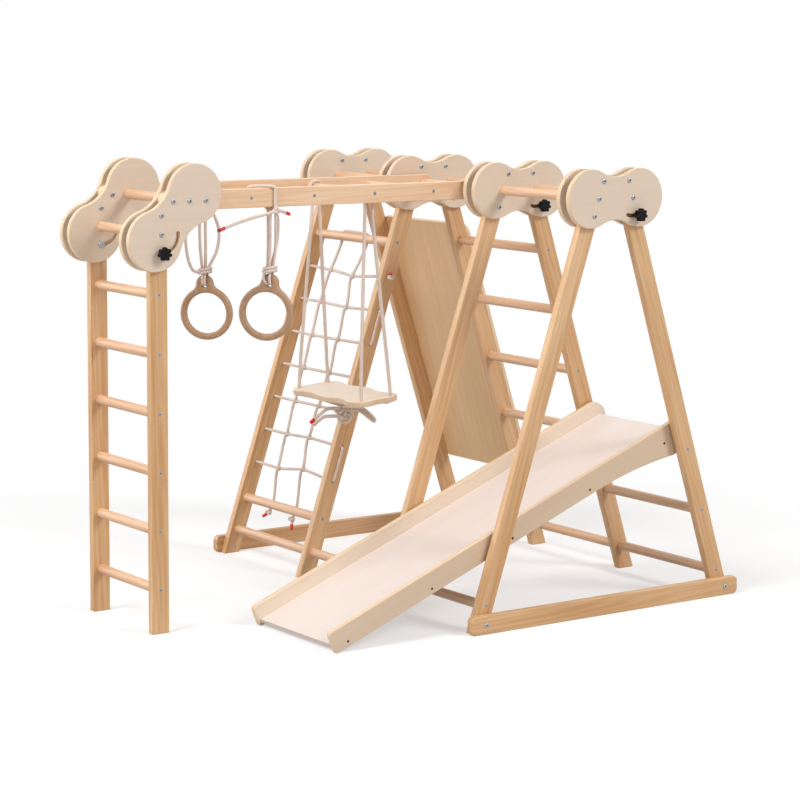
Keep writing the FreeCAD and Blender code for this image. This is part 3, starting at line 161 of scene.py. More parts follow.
class ClimberColours(bpy.types.PropertyGroup):
    pine_light: colour("Pine, early wood", "Pale part of the legs' and bars' grain", (0.885, 0.73, 0.555))
    pine_dark: colour("Pine, late wood", "Dark part of the legs' and bars' grain", (0.77, 0.575, 0.375))
    rail_light: colour("Rail, early wood", "Pale part of the overhead rails' grain", (0.94, 0.805, 0.67))
    rail_dark: colour("Rail, late wood", "Dark part of the overhead rails' grain", (0.865, 0.69, 0.525))
    rod_light: colour("Rung, early wood", "Pale part of the rungs' grain", (0.912, 0.762, 0.622))
    rod_dark: colour("Rung, late wood", "Dark part of the rungs' grain", (0.81, 0.625, 0.475))
    veneer_light: colour("Veneer, light", "Pale part of the birch veneer", (0.90, 0.825, 0.747))
    veneer_dark: colour("Veneer, dark", "Dark part of the birch veneer", (0.85, 0.762, 0.67))
    side_light: colour("Slide side, light", "Pale part of the slide's side rails", (0.862, 0.772, 0.67))
    side_dark: colour("Slide side, dark", "Dark part of the slide's side rails", (0.807, 0.698, 0.582))
    # Slide's far side: a lighter copy of the side plywood. It is partly board-to-board variation and partly
    # painted light for the bounce light on its inner face.
    far_side_lit_pale: colour("Inner side, light", "Pale part of the slide's far side", (0.935, 0.868, 0.792))
    far_side_lit_dark: colour("Inner side, dark", "Dark part of the slide's far side", (0.89, 0.81, 0.72))
    seat_light: colour("Seat, light", "Pale part of the swing seat", (1.0, 0.94, 0.872))
    seat_dark: colour("Seat, dark", "Dark part of the swing seat", (0.98, 0.905, 0.825))
    seat_edge: colour("Seat, edge", "Pale layers on the seat's edge", (0.88, 0.80, 0.70))
    ply_light: colour("Plies, light", "Pale layers on a plywood edge", (0.97, 0.88, 0.745))
    ply_dark: colour("Plies, dark", "Dark layers on a plywood edge", (0.83, 0.69, 0.53))
    deck_light: colour("Deck, light", "Pale part of the slide's surface", (0.912, 0.864, 0.835))
    deck_dark: colour("Deck, dark", "Dark part of the slide's surface", (0.882, 0.824, 0.788))
    deck_edge: colour("Deck, edge", "Dark layers on the deck's edge", (0.80, 0.71, 0.65))
    board_light: colour("Board, light", "Pale part of the climbing board", (0.918, 0.782, 0.605))
    board_dark: colour("Board, dark", "Dark part of the climbing board", (0.818, 0.655, 0.47))
    ring_light: colour("Ring, light", "Pale part of the hand rings", (0.738, 0.588, 0.458))
    ring_dark: colour("Ring, dark", "Dark part of the hand rings", (0.622, 0.464, 0.332))
    rope_light: colour("Rope, light", "Cotton rope", (0.905, 0.838, 0.79))
    rope_dark: colour("Rope, shade", "Cotton rope where it is rubbed", (0.80, 0.70, 0.63))
    tip_red: colour("Rope tip", "Red sleeve on a rope's end", (0.80, 0.10, 0.09))
    tip_black: colour("Rope tip, dark", "Dark end of the long tail", (0.08, 0.08, 0.09))
    steel_light: colour("Steel", "Zinc plated bolts and screws", (0.68, 0.69, 0.71))
    steel_dark: colour("Dark steel", "Small coated screws of the slide", (0.36, 0.30, 0.23))
    knob_black: colour("Knob", "Moulded star knobs", (0.03, 0.03, 0.034))


class ClimberStage(bpy.types.PropertyGroup):
    lens: amount("Lens", "Focal length in millimetres", 112.373)
    eye: FloatVectorProperty(name="Eye", description="Place of the camera",
                             default=(-3.829157, -5.538349, 1.513783), subtype="TRANSLATION", unit="LENGTH")
    yaw: angle("Yaw", "Turn of the view to the right of +Y", 35.558)
    pitch: angle("Pitch", "Tilt of the view below the horizon", 8.378)
    roll: angle("Roll", "Turn of the view about its own line", 0.428)
    side_power: amount("Side lamp", "Power of the lamp on the left", 446.0)
    front_power: amount("Front lamp", "Power of the lamp in front", 1085.0)
    sky: amount("Room light", "Strength of the light from all round", 0.45)
    panel: amount("Panel", "Brightness of the white panel that gloss picks up on the left", 3.4)


# Materials
class Value:
    """A shader socket that takes arithmetic."""

    def __init__(self, finish, socket):
        self.finish = finish
        self.socket = socket

    def _math(self, operation, first, second):
        return self.finish.add("ShaderNodeMath", {"operation": operation}, {0: first, 1: second})

    def __add__(self, other):
        return self._math("ADD", self, other)

    def __radd__(self, other):
        return self._math("ADD", other, self)

    def __sub__(self, other):
        return self._math("SUBTRACT", self, other)

    def __rsub__(self, other):
        return self._math("SUBTRACT", other, self)

    def __mul__(self, other):
        return self._math("MULTIPLY", self, other)

    def __abs__(self):
        return self.finish.add("ShaderNodeMath", {"operation": "ABSOLUTE"}, {0: self})


class Finish:
    """A material, and the one way to add nodes to it."""

    def __init__(self, name, tree=None):
        self.material = None
        if tree is None:
            self.material = bpy.data.materials.new(name)
            self.material.use_nodes = True
            tree = self.material.node_tree
        self.tree = tree
        tree.nodes.clear()

    def add(self, kind, settings=None, sockets=None, output=0):
        node = self.tree.nodes.new(kind)
        for key, setting in (settings or {}).items():
            if key == "stops":
                ramp = node.color_ramp
                while len(ramp.elements) < len(setting):
                    ramp.elements.new(1.0)
                for element, (place, shade) in zip(ramp.elements, setting):
                    element.position = place
                    element.color = shade
            else:
                setattr(node, key, setting)
        for key, given in (sockets or {}).items():
            if isinstance(given, Value):
                self.tree.links.new(given.socket, node.inputs[key])
            else:
                node.inputs[key].default_value = given
        return Value(self, node.outputs[output])

    def mix(self, share, first, second):
        """Colour between two others."""
        return self.add("ShaderNodeMix", {"data_type": "RGBA"}, {0: share, 6: first, 7: second}, 2)

    def soft_step(self, given, low, high):
        """A value that runs from 0 to 1 between two limits."""
        sockets = {"Value": given, "From Min": low, "From Max": high}
        return self.add("ShaderNodeMapRange", {"interpolation_type": "SMOOTHSTEP"}, sockets)

    def coordinates(self, kind="Object"):
        return self.add("ShaderNodeTexCoord", {}, {}, kind)

    def dot(self, first, second):
        """How far a vector reaches in a direction."""
        sockets = {0: first, 1: second}
        return self.add("ShaderNodeVectorMath", {"operation": "DOT_PRODUCT"}, sockets, "Value")

    def noise(self, vector, scale, detail=2.0, distortion=0.0):
        return self.add("ShaderNodeTexNoise", {}, {
            "Vector": vector, "Scale": scale, "Detail": detail, "Distortion": distortion,
        })

    def surface(self, base, roughness, height=None, depth=0.0, fixed=None):
        """Joins the colour, roughness and relief to the shader, with its fixed sockets by name."""
        sockets = {"Base Color": base, "Roughness": roughness, **(fixed or {})}
        if height is not None:
            sockets["Normal"] = self.add("ShaderNodeBump", {}, {
                "Height": height, "Distance": depth, "Strength": 1.0,
            })
        shader = self.add("ShaderNodeBsdfPrincipled", {}, sockets)
        self.add_output("ShaderNodeOutputMaterial", shader)
        return self.material

    def add_output(self, kind, shader):
        node = self.tree.nodes.new(kind)
        self.tree.links.new(shader.socket, node.inputs["Surface"])


def paint(given):
    """Linear colour with full alpha from a colour as it is seen."""
    seen = Color(given).from_srgb_to_scene_linear()
    return (seen.r, seen.g, seen.b, 1.0)


def along_grain(finish, turn):
    """Object coordinates turned so that their Z runs along the grain."""
    places = finish.coordinates()
    return finish.add("ShaderNodeMapping", {"vector_type": "TEXTURE"}, {"Vector": places, "Rotation": turn})


def stretched(finish, vector, scale):
    return finish.add("ShaderNodeVectorMath", {"operation": "MULTIPLY"}, {0: vector, 1: scale})


def grain_of(finish, vector):
    """Streaks, growth bands and fibres of a sawn board, each from 0 to 1."""
    slow = finish.noise(stretched(finish, vector, (1.0, 1.0, 0.16)), 11.0, 2.0)
    bands = finish.add("ShaderNodeTexWave", {"wave_type": "BANDS", "bands_direction": "DIAGONAL"}, {
        "Vector": stretched(finish, vector, (1.0, 0.62, 0.05)),
        "Scale": 46.0, "Distortion": 10.0, "Detail": 2.0, "Detail Scale": 0.7, "Detail Roughness": 0.55,
    }, 1)
    streaks = finish.noise(stretched(finish, vector, (1.0, 1.0, 0.03)), 90.0, 3.0, 0.4)
    fibres = finish.noise(stretched(finish, vector, (1.0, 1.0, 0.02)), 700.0, 2.0)
    return slow, bands, streaks, fibres


def pine(name, light, dark, turn):
    """Lacquered pine with its grain along a turned Z, each board a little different."""
    finish = Finish(name)
    vector = along_grain(finish, turn)
    slow, bands, streaks, fibres = grain_of(finish, vector)
    board = finish.noise(stretched(finish, vector, (1.0, 1.0, 0.25)), 2.8, 1.0)
    share = bands * 0.24 + streaks * 1.4 + slow * 1.3 + board * 1.3 - 1.62
    base = finish.mix(share, paint(light), paint(dark))
    rough = 0.36 + streaks * 0.16
    relief = bands * 0.25 + streaks * 0.35 + fibres * 0.4
    return finish.surface(base, rough, relief, 0.00022, {"Coat Weight": 0.12, "Coat Roughness": 0.3})


def plywood(name, light, dark, plies, turn, through, ply=0.0029):
    """Plywood: veneer on the faces square to a direction, layers on the edges."""
    finish = Finish(name)
    vector = along_grain(finish, turn)
    slow, bands, streaks, fibres = grain_of(finish, vector)
    share = bands * 0.07 + streaks * 0.5 + slow * 1.1 - 0.33
    veneer = finish.mix(share, paint(light), paint(dark))
    places = finish.coordinates()
    facing = finish.coordinates("Normal")
    depth = finish.dot(places, through)
    square = finish.dot(facing, through)
    wave = finish.add("ShaderNodeMath", {"operation": "SINE"}, {0: depth * (2 * math.pi / ply)})
    layer = finish.soft_step(wave + (streaks - 0.5) * 0.8, -0.5, 0.6)
    edge = finish.mix(layer * 0.75 + streaks * 0.2, paint(plies[0]), paint(plies[1]))
    on_face = finish.soft_step(abs(square), 0.72, 0.9)
    base = finish.mix(on_face, edge, veneer)
    rough = 0.5 - on_face * 0.1 + streaks * 0.14
    relief = (1 - on_face) * layer * 0.7 + fibres * 0.3 + streaks * 0.3
    return finish.surface(base, rough, relief, 0.0002, {"Coat Weight": 0.08, "Coat Roughness": 0.35})


def ring_wood(name, colours, turn):
    """Close-grained hardwood of the hand rings."""
    finish = Finish(name)
    vector = along_grain(finish, turn)
    slow, bands, streaks, fibres = grain_of(finish, vector)
    flecks = finish.noise(stretched(finish, vector, (1.0, 1.0, 0.12)), 420.0, 1.0)
    share = bands * 0.3 + streaks * 0.45 + flecks * 0.25 + slow * 0.2 - 0.2
    base = finish.mix(share, paint(colours.ring_light), paint(colours.ring_dark))
    return finish.surface(base, 0.38 + flecks * 0.14, fibres * 0.6 + flecks * 0.4, 0.00015,
                          {"Coat Weight": 0.15, "Coat Roughness": 0.28})


def cotton(name, colours):
    """Soft cotton yarn: fibres, a little fuzz and rubbed places."""
    finish = Finish(name)
    places = finish.coordinates()
    fuzz = finish.noise(places, 1500.0, 3.0, 0.5)
    yarns = finish.noise(places, 420.0, 2.0, 1.2)
    rubbed = finish.noise(places, 26.0, 2.0)
    share = yarns * 0.45 + rubbed * 0.6 - 0.25
    base = finish.mix(share, paint(colours.rope_light), paint(colours.rope_dark))
    return finish.surface(base, 0.82 + fuzz * 0.15, fuzz * 0.5 + yarns * 0.5, 0.0005,
                          {"Sheen Weight": 0.2, "Sheen Roughness": 0.5})


def metal(name, shade, roughness, scratches):
    """Plated steel with fine brushing."""
    finish = Finish(name)
    places = finish.coordinates()
    brushed = finish.noise(stretched(finish, places, (1.0, 0.2, 1.0)), 2400.0, 2.0)
    stained = finish.noise(places, 130.0, 2.0)
    worn = tuple(part * 0.72 for part in shade[:3]) + (1.0,)
    base = finish.mix(stained * 0.6, shade, worn)
    return finish.surface(base, roughness + brushed * scratches, brushed, 0.00004, {"Metallic": 1.0})


def moulded(name, shade, roughness, shine=0.5):
    """Moulded plastic with a fine spark finish."""
    finish = Finish(name)
    places = finish.coordinates()
    sparks = finish.noise(places, 1300.0, 2.0)
    rubbed = finish.noise(places, 160.0, 2.0)
    lighter = tuple(min(1.0, part * 1.7 + 0.004) for part in shade[:3]) + (1.0,)
    base = finish.mix(rubbed * 0.7, shade, lighter)
    return finish.surface(base, roughness + rubbed * 0.16, sparks, 0.00012, {"Specular IOR Level": shine})


# Meshes
def welded(node):
    """A copy of a CAD node's mesh with its triangles joined into flat faces."""
    mesh = bmesh.new()
    mesh.from_mesh(frame["nodes"][node].data)
    bmesh.ops.remove_doubles(mesh, verts=mesh.verts, dist=WELD)
    bmesh.ops.dissolve_limit(mesh, angle_limit=FLAT_ANGLE, verts=mesh.verts, edges=mesh.edges)
    return mesh


def sharp_edges(mesh):
    return [edge for edge in mesh.edges if edge.is_manifold and edge.calc_face_angle() > SHARP_ANGLE]


def large_loops(mesh):
    """Sharp edges that hang together over some distance, so not the rims of small bores."""
    waiting = set(sharp_edges(mesh))
    found = []
    while waiting:
        chain = [waiting.pop()]
        for edge in chain:
            for corner in edge.verts:
                nearby = [other for other in corner.link_edges if other in waiting]
                waiting.difference_update(nearby)
                chain.extend(nearby)
        places = [corner.co for edge in chain for corner in edge.verts]
        spans = [max(values) - min(values) for values in zip(*places)]
        if max(spans) > SMALL_LOOP:
            found.extend(chain)
    return found


def rounded(mesh, edges, width, steps):
    bmesh.ops.bevel(mesh, geom=edges, offset=width, offset_type="OFFSET", segments=steps, profile=0.5,
                    affect="EDGES", clamp_overlap=False, loop_slide=True, material=-1)


def shaded(mesh):
    """Smooth faces, with a crease left along every edge that is still sharp."""
    for face in mesh.faces:
        face.smooth = True
    for edge in sharp_edges(mesh):
        edge.smooth = False


def piece(name, data, finish, body, nodes=()):
    """A finished object that rides on a body and stands for CAD nodes."""
    obj = bpy.data.objects.new(name, data)
    bpy.context.scene.collection.objects.link(obj)
    data.materials.clear()
    data.materials.append(finish)
    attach(obj, body)
    if nodes:
        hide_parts(*nodes)
    return obj


def from_mesh(name, mesh, finish, body, nodes=(), weighted=True):
    data = bpy.data.meshes.new(name)
    mesh.to_mesh(data)
    mesh.free()
    obj = piece(name, data, finish, body, nodes)
    if weighted:
        even = obj.modifiers.new("Even normals", "WEIGHTED_NORMAL")
        even.keep_sharp = True
    return obj


def body_of(node):
    return frame["nodes"][node]["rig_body"]


def softened(node, finish, width, steps):
    """A CAD node again with its long edges rounded over."""
    mesh = welded(node)
    if width > 0:
        rounded(mesh, large_loops(mesh), width, steps)
    shaded(mesh)
    return from_mesh(node + "_finished", mesh, finish, body_of(node), [node])


def round_caps(mesh, radius):
    """Flat round faces of one radius."""
    full = math.pi * radius ** 2
    low, high = CAP_SHARES
    many = [face for face in mesh.faces if len(face.verts) > CAP_CORNERS]
    return [face for face in many if low < face.calc_area() / full < high]


def recess(mesh, faces, reach, sink, corners, hollow):
    """Sinks a driver recess into round faces: a regular outline, its sides drawn in by a share."""
    bmesh.ops.inset_individual(mesh, faces=faces, thickness=reach * RECESS_RIM, depth=0.0)
    for face in faces:
        middle = face.calc_center_median()
        normal = face.normal.copy()
        first = (face.verts[0].co - middle).normalized()
        second = normal.cross(first)
        step = 2 * math.pi / corners
        for corner in face.verts:
            away = corner.co - middle
            bearing = math.atan2(away.dot(second), away.dot(first)) % step
            fold = abs(bearing / step - 0.5) * 2
            distance = reach * (1 - hollow * (1 - fold))
            corner.co = middle + away.normalized() * distance
    bmesh.ops.inset_individual(mesh, faces=faces, thickness=reach * RECESS_DRAFT, depth=-sink)


def hardware(node, finish, head, dome=0.0):
    """A CAD fastener group again with domed heads and driver recesses."""
    mesh = welded(node)
    caps = round_caps(mesh, head["radius"])
    if dome > 0:
        rims = list({edge for face in caps for edge in face.edges})
        places = [(face.calc_center_median(), face.normal.copy()) for face in caps]
        rounded(mesh, rims, dome, DOME_STEPS)
        caps = []
        for middle, normal in places:
            facing = [face for face in mesh.faces if face.normal.dot(normal) > SAME_FACING]
            caps.append(min(facing, key=lambda face: (face.calc_center_median() - middle).length))
    mesh.normal_update()
    recess(mesh, caps, head["reach"], head["sink"], head["corners"], head["hollow"])
    shaded(mesh)
    return from_mesh(node + "_finished", mesh, finish, body_of(node), [node])


# Ropes, with the sizes of strands as shares of the rope's diameter
CURVE_STEPS = 10
STRAND_REACH = 0.13
STRAND_RADIUS = 0.41
TIGHT_LAY = 1.0
LOOSE_LAY = 1.14
LAY_POINTS = 10
KNOT_STEPS = 40
KNOT_DEPTH = 1.3
KNOT_TURN = 1.9
COLLAR_STEPS = 12
COLLAR_START = 2.2
COLLAR_TUCK = 0.7
COLLAR_SQUASH = 0.85
SLEEVE_GROW = 0.0006
SLEEVE_SIDES = 20
SLEEVE_BACK = 0.35
SLEEVE_ROUND = 0.35
SLEEVE_STEPS = 3


def smooth_line(points):
    """Points along the smooth curve that has these as its control points."""
    curve = bpy.data.curves.new("route", "CURVE")
    curve.dimensions = "3D"
    curve.resolution_u = CURVE_STEPS
    spline = curve.splines.new("NURBS")
    spline.points.add(len(points) - 1)
    for point, place in zip(spline.points, points):
        point.co = (*place, 1.0)
    spline.order_u = 3
    spline.use_endpoint_u = True
    holder = bpy.data.objects.new("route", curve)
    mesh = bpy.data.meshes.new_from_object(holder)
    line = [corner.co.copy() for corner in mesh.vertices]
    bpy.data.meshes.remove(mesh)
    bpy.data.curves.remove(curve)
    return line


def evenly(line, step):
    """The same line with its points a step apart."""
    spaced = [line[0].copy()]
    carried = 0.0
    for start, end in zip(line, line[1:]):
        gap = (end - start).length
        while carried + gap >= step:
            start = start.lerp(end, (step - carried) / gap)
            spaced.append(start.copy())
            gap = (end - start).length
            carried = 0.0
        carried += gap
    if (line[-1] - spaced[-1]).length > step / 2:
        spaced.append(line[-1].copy())
    return spaced


def strands(name, line, thick, full, sizes):
    """Mesh of a laid rope along a line, fuller than its diameter where it is laid loosely."""
    turn_length = sizes.lay_turns * thick
    spaced = evenly(line, turn_length / LAY_POINTS)
    ways = [(after - before).normalized() for before, after in zip(spaced, spaced[1:])]
    ways.append(ways[-1])
    across = ways[0].orthogonal().normalized()
    frames = []
    for before, way in zip([ways[0]] + ways, ways):
        across = before.rotation_difference(way) @ across
        across = (across - way * across.dot(way)).normalized()
        frames.append((across.copy(), way.cross(across)))
    curve = bpy.data.curves.new(name, "CURVE")
    curve.dimensions = "3D"
    curve.bevel_depth = thick * full * STRAND_RADIUS
    curve.bevel_resolution = 2
    curve.use_fill_caps = True
    for strand in range(sizes.strand_count):
        spline = curve.splines.new("POLY")
        spline.points.add(len(spaced) - 1)
        start = 2 * math.pi * strand / sizes.strand_count
        for index, (place, (one, two)) in enumerate(zip(spaced, frames)):
            turn = start + 2 * math.pi * index / LAY_POINTS
            centre = place + (one * math.cos(turn) + two * math.sin(turn)) * (thick * full * STRAND_REACH)
            spline.points[index].co = (*centre, 1.0)
    holder = bpy.data.objects.new(name, curve)
    data = bpy.data.meshes.new_from_object(holder)
    data.name = name
    bpy.data.curves.remove(curve)
    data.shade_smooth()
    return data


def trefoil(size):
    """Closed line of an overhand knot."""
    line = []
    for step in range(KNOT_STEPS + 1):
        t = 2 * math.pi * step / KNOT_STEPS
        across = math.sin(t) + 2 * math.sin(2 * t)
        along = math.cos(t) - 2 * math.cos(2 * t)
        line.append(Vector((across, along, -KNOT_DEPTH * math.sin(3 * t))) * size)
    return line


class Ropes:
    """Makes the ropes of one group, with their knots and tips."""

    def __init__(self, context, body, thick, full=TIGHT_LAY):
        self.sizes = context.scene.climber_sizes
        self.colours = context.scene.climber_colours
        self.body = body
        self.thick = thick
        self.full = full
        self.finish = bpy.data.materials.get("cotton_rope_yarn") or cotton("cotton_rope_yarn", self.colours)

    def cord(self, name, points, long, far_end, lay, nodes=(), with_pieces=()):
        line = smooth_line(points)
        data = strands(name, line, self.thick, self.full, self.sizes)
        obj = piece(name, data, self.finish, self.body, nodes)
        return obj

    def knot(self, name, places, reach, axes=None):
        """Overhand knots pulled tight, as one piece."""
        whole = bmesh.new()
        line = trefoil((reach - self.thick / 2) / 3)
        for index, place in enumerate(places):
            turn = Matrix.Rotation(KNOT_TURN * index, 4, "Z")
            if axes:
                turn = Vector((0, 0, 1)).rotation_difference(axes[index]).to_matrix().to_4x4() @ turn
            placed = [turn @ point + place for point in line]
            data = strands(name, placed, self.thick, TIGHT_LAY, self.sizes)
            whole.from_mesh(data)
            bpy.data.meshes.remove(data)
        for face in whole.faces:
            face.smooth = True
        return from_mesh(name, whole, self.finish, self.body, weighted=False)

    def collar(self, name, place, reach, turns, lean):
        """Turns of rope drawn tight round a bundle of strands, the ends tucked in."""
        steps = round(COLLAR_STEPS * turns)
        wide = reach - self.thick / 2
        route = []
        for step in range(steps + 1):
            share = step / steps
            bearing = 2 * math.pi * turns * share + COLLAR_START
            drawn = wide * (1 - COLLAR_TUCK * abs(2 * share - 1) ** 10)
            route.append(Vector((drawn * math.cos(bearing), drawn * math.sin(bearing) * COLLAR_SQUASH,
                                 self.thick * turns * (0.5 - share))))
        tilt = Matrix.Rotation(lean, 3, RING_FACING)
        line = smooth_line([tilt @ point + place for point in route])
        data = strands(name, line, self.thick, TIGHT_LAY, self.sizes)
        return piece(name, data, self.finish, self.body)

    def tips(self, name, ends, finish, long, grow=SLEEVE_GROW):
        """Sleeves on rope ends, each end (point, direction outwards)."""
        whole = bmesh.new()
        for place, way in ends:
            turn = Vector((0, 0, 1)).rotation_difference(way).to_matrix().to_4x4()
            spot = Matrix.Translation(place - way * (long * SLEEVE_BACK)) @ turn
            radius = self.thick * self.full / 2 + grow
            made = bmesh.ops.create_cone(whole, cap_ends=True, segments=SLEEVE_SIDES, radius1=radius,
                                         radius2=radius, depth=long, matrix=spot)
            rims = list({edge for corner in made["verts"] for edge in corner.link_edges
                         if edge.calc_face_angle() > SHARP_ANGLE})
            rounded(whole, rims, radius * SLEEVE_ROUND, SLEEVE_STEPS)
        shaded(whole)
        return from_mesh(name, whole, finish, self.body)

    def red_tips(self, name, ends):
        red = paint(self.colours.tip_red)
        finish = bpy.data.materials.get("red_sleeve") or moulded("red_sleeve", red, 0.35)
        return self.tips(name, ends, finish, self.sizes.tip_length)


def ending(points):
    """Last point of a route and the way that the rope leaves it."""
    return points[-1], (points[-1] - points[-2]).normalized()


# Route of the net: seven rows laced through the two far left legs, then the upright rope tied to them
NET_TOP_Z = 0.8325
NET_STEP = 0.5685 / 6
NET_ROWS = 7
FAR_FACE_Y = 0.6118
NEAR_FACE_Y = 0.1842
HOLE_STEP = 0.016
TIED_STEP = 0.006
UPRIGHT_TOP_Y = (0.48448, 0.35664)
UPRIGHT_FOOT_Y = (0.46192, 0.33972)
UPRIGHT_OUT = 0.0073
ROW_SAG = ((0.005, 0.0135), (0.002, 0.006), (0.0025, 0.002), (0.001, 0.001), (0.001, 0.001),
           (0.0, -0.0045), (0.003, -0.012))
ROW_SHIFT = ((-0.013, 0.0), (0.0, -0.009), (0.0, -0.009), (0.0, -0.010), (0.0, 0.0), (0.0, 0.009),
             (0.0, 0.0))
UPRIGHT_SWAY = (0.004, 0.007)
TOP_RUNG_Z = 0.926
LOW_RUNG_Z = 0.16
FOOT_KNOT = (-0.0035, -0.0245)
FOOT_ASIDE = 0.012
FOOT_BEHIND = ((-0.0172, -0.012), (-0.0185, 0.016))
TOP_BEHIND = ((-0.018, -0.008), (-0.0150, 0.0160))
TOP_OVER = (-0.0060, 0.0174)
TOP_STEP = 0.014
FOOT_TAILS = (Vector((-0.0130, 0.0093, -0.0110)), Vector((0.0, 0.0, -0.029)))
STOP_KNOT = 0.0115
STOP_OUT = Vector((0, 0.0075, 0))
TIE_KNOT = 0.0092
LOW_KNOT = 0.0112
LACING_LENGTH = 3.564
UPRIGHT_LENGTH = 1.88


def on_net(z, y, out=0.0, up=0.0):
    """Place on the net at a height on the leg line, out from the legs' plane and up along them."""
    line = Vector((RIDGE_X - PIVOT_HALF - (PIVOT_Z - z) * math.tan(LEAN), y, z))
    return line + LEG_OUT * out + LEG_UP * up


def crossing(row, index, across=0.0, out=0.0, up=0.0):
    """Place by the knot of a row and an upright."""
    z = NET_TOP_Z - NET_STEP * row
    share = (TOP_RUNG_Z - z) / (TOP_RUNG_Z - (NET_TOP_Z - NET_STEP * (NET_ROWS - 1)))
    y = UPRIGHT_TOP_Y[index] + share * (UPRIGHT_FOOT_Y[index] - UPRIGHT_TOP_Y[index])
    return on_net(z, y + ROW_SHIFT[row][index] + across, out, up - ROW_SAG[row][index])


def lacing_route():
    route = []
    for row in range(NET_ROWS):
        z = NET_TOP_Z - NET_STEP * row
        run = [on_net(z, FAR_FACE_Y), on_net(z, FAR_FACE_Y - HOLE_STEP)]
        for index in (0, 1):
            run += [crossing(row, index, TIED_STEP), crossing(row, index, -TIED_STEP)]
        run += [on_net(z, NEAR_FACE_Y + HOLE_STEP), on_net(z, NEAR_FACE_Y)]
        if row % 2 == 0:
            run.reverse()
        if row > 0:
            run.insert(0, run[0] + LEG_UP * HOLE_STEP)
        if row < NET_ROWS - 1:
            run.append(run[-1] - LEG_UP * HOLE_STEP)
        route += run
    return route


def upright_half(index):
    """From the tail under the low rung, behind it and past the rows to the back of the top rung."""
    foot = UPRIGHT_FOOT_Y[index]
    tied = on_net(LOW_RUNG_Z, foot, *FOOT_KNOT)
    half = [tied + FOOT_TAILS[index], tied]
    half += [on_net(LOW_RUNG_Z, foot + FOOT_ASIDE, *place) for place in FOOT_BEHIND]
    sway = UPRIGHT_SWAY[index]
    for row in reversed(range(NET_ROWS)):
        half.append(crossing(row, index, sway, UPRIGHT_OUT, -TIED_STEP))
        half.append(crossing(row, index, -sway, UPRIGHT_OUT, TIED_STEP))
    return half + [on_net(TOP_RUNG_Z, UPRIGHT_TOP_Y[index], *place) for place in TOP_BEHIND]


class CLIMBER_OT_net(bpy.types.Operator):
    """Lace the net's rope through the legs and tie the upright rope to it"""
    bl_idname = "climber.net"
    bl_label = "Climbing net"

    def execute(self, context):
        ropes = Ropes(context, "frame", NET_ROPE, LOOSE_LAY)
        lacing = lacing_route()
        ends = [lacing[0] - STOP_OUT, lacing[-1] + STOP_OUT]
        stops = ropes.knot("net_lacing_stops", ends, STOP_KNOT, [ACROSS, ACROSS])
        caps = ropes.red_tips("net_lacing_tips", [
            (ends[0] + Vector((-0.003, -0.004, 0.009)), Vector((-0.3, -0.5, 0.8)).normalized()),
            (ends[1] + Vector((-0.003, 0.004, -0.009)), Vector((-0.3, 0.5, -0.8)).normalized()),
        ])
        ropes.cord("net_lacing_rope", lacing, LACING_LENGTH, "knot", "taut", ["net_lacing"], [stops, caps])
        first, second = upright_half(0), upright_half(1)
        over = [on_net(TOP_RUNG_Z, UPRIGHT_TOP_Y[0] - TOP_STEP, *TOP_OVER),
                on_net(TOP_RUNG_Z, UPRIGHT_TOP_Y[1] + TOP_STEP, *TOP_OVER)]
        route = first + over + second[::-1]
        places = [crossing(row, index, 0.0, UPRIGHT_OUT / 2) for index in (0, 1) for row in range(NET_ROWS)]
        ties = ropes.knot("net_ties", places, TIE_KNOT, [LEG_OUT] * len(places))
        lows = [on_net(LOW_RUNG_Z, y, *FOOT_KNOT) for y in UPRIGHT_FOOT_Y]
        feet = ropes.knot("net_foot_knots", lows, LOW_KNOT, [LEG_UP, LEG_UP])
        tips = ropes.red_tips("net_foot_tips", [ending(first[1::-1]), ending(second[1::-1])])
        ropes.cord("net_upright_rope", route, UPRIGHT_LENGTH, "knot", "taut", ["net_uprights"],
                   [ties, feet, tips])
        return {"FINISHED"}


# Routes of the ring ropes
RING_TURN = math.radians(43)
RING_FACING = Vector((-math.cos(RING_TURN), -math.sin(RING_TURN), 0))
RING_ACROSS = Vector((math.sin(RING_TURN), -math.cos(RING_TURN), 0))
STRAND_OUT = 0.0088
TURN_SHARE = 0.41
STRAND_DEEP = 0.0044
TAB_STRAND = 0.0034
TAB_DROP = 0.0378
HITCH_KNOT = 0.0115
COLLAR_REACH = 0.0228
COLLAR_TURNS = 1.7
COLLAR_LEAN = math.radians(14)
DARK_END = 0.006
DARK_GROW = 0.0003
HITCH_LENGTH = 0.235
TAIL_LENGTHS = (0.179, 0.049)
TAB_LENGTHS = (0.107, 0.105)


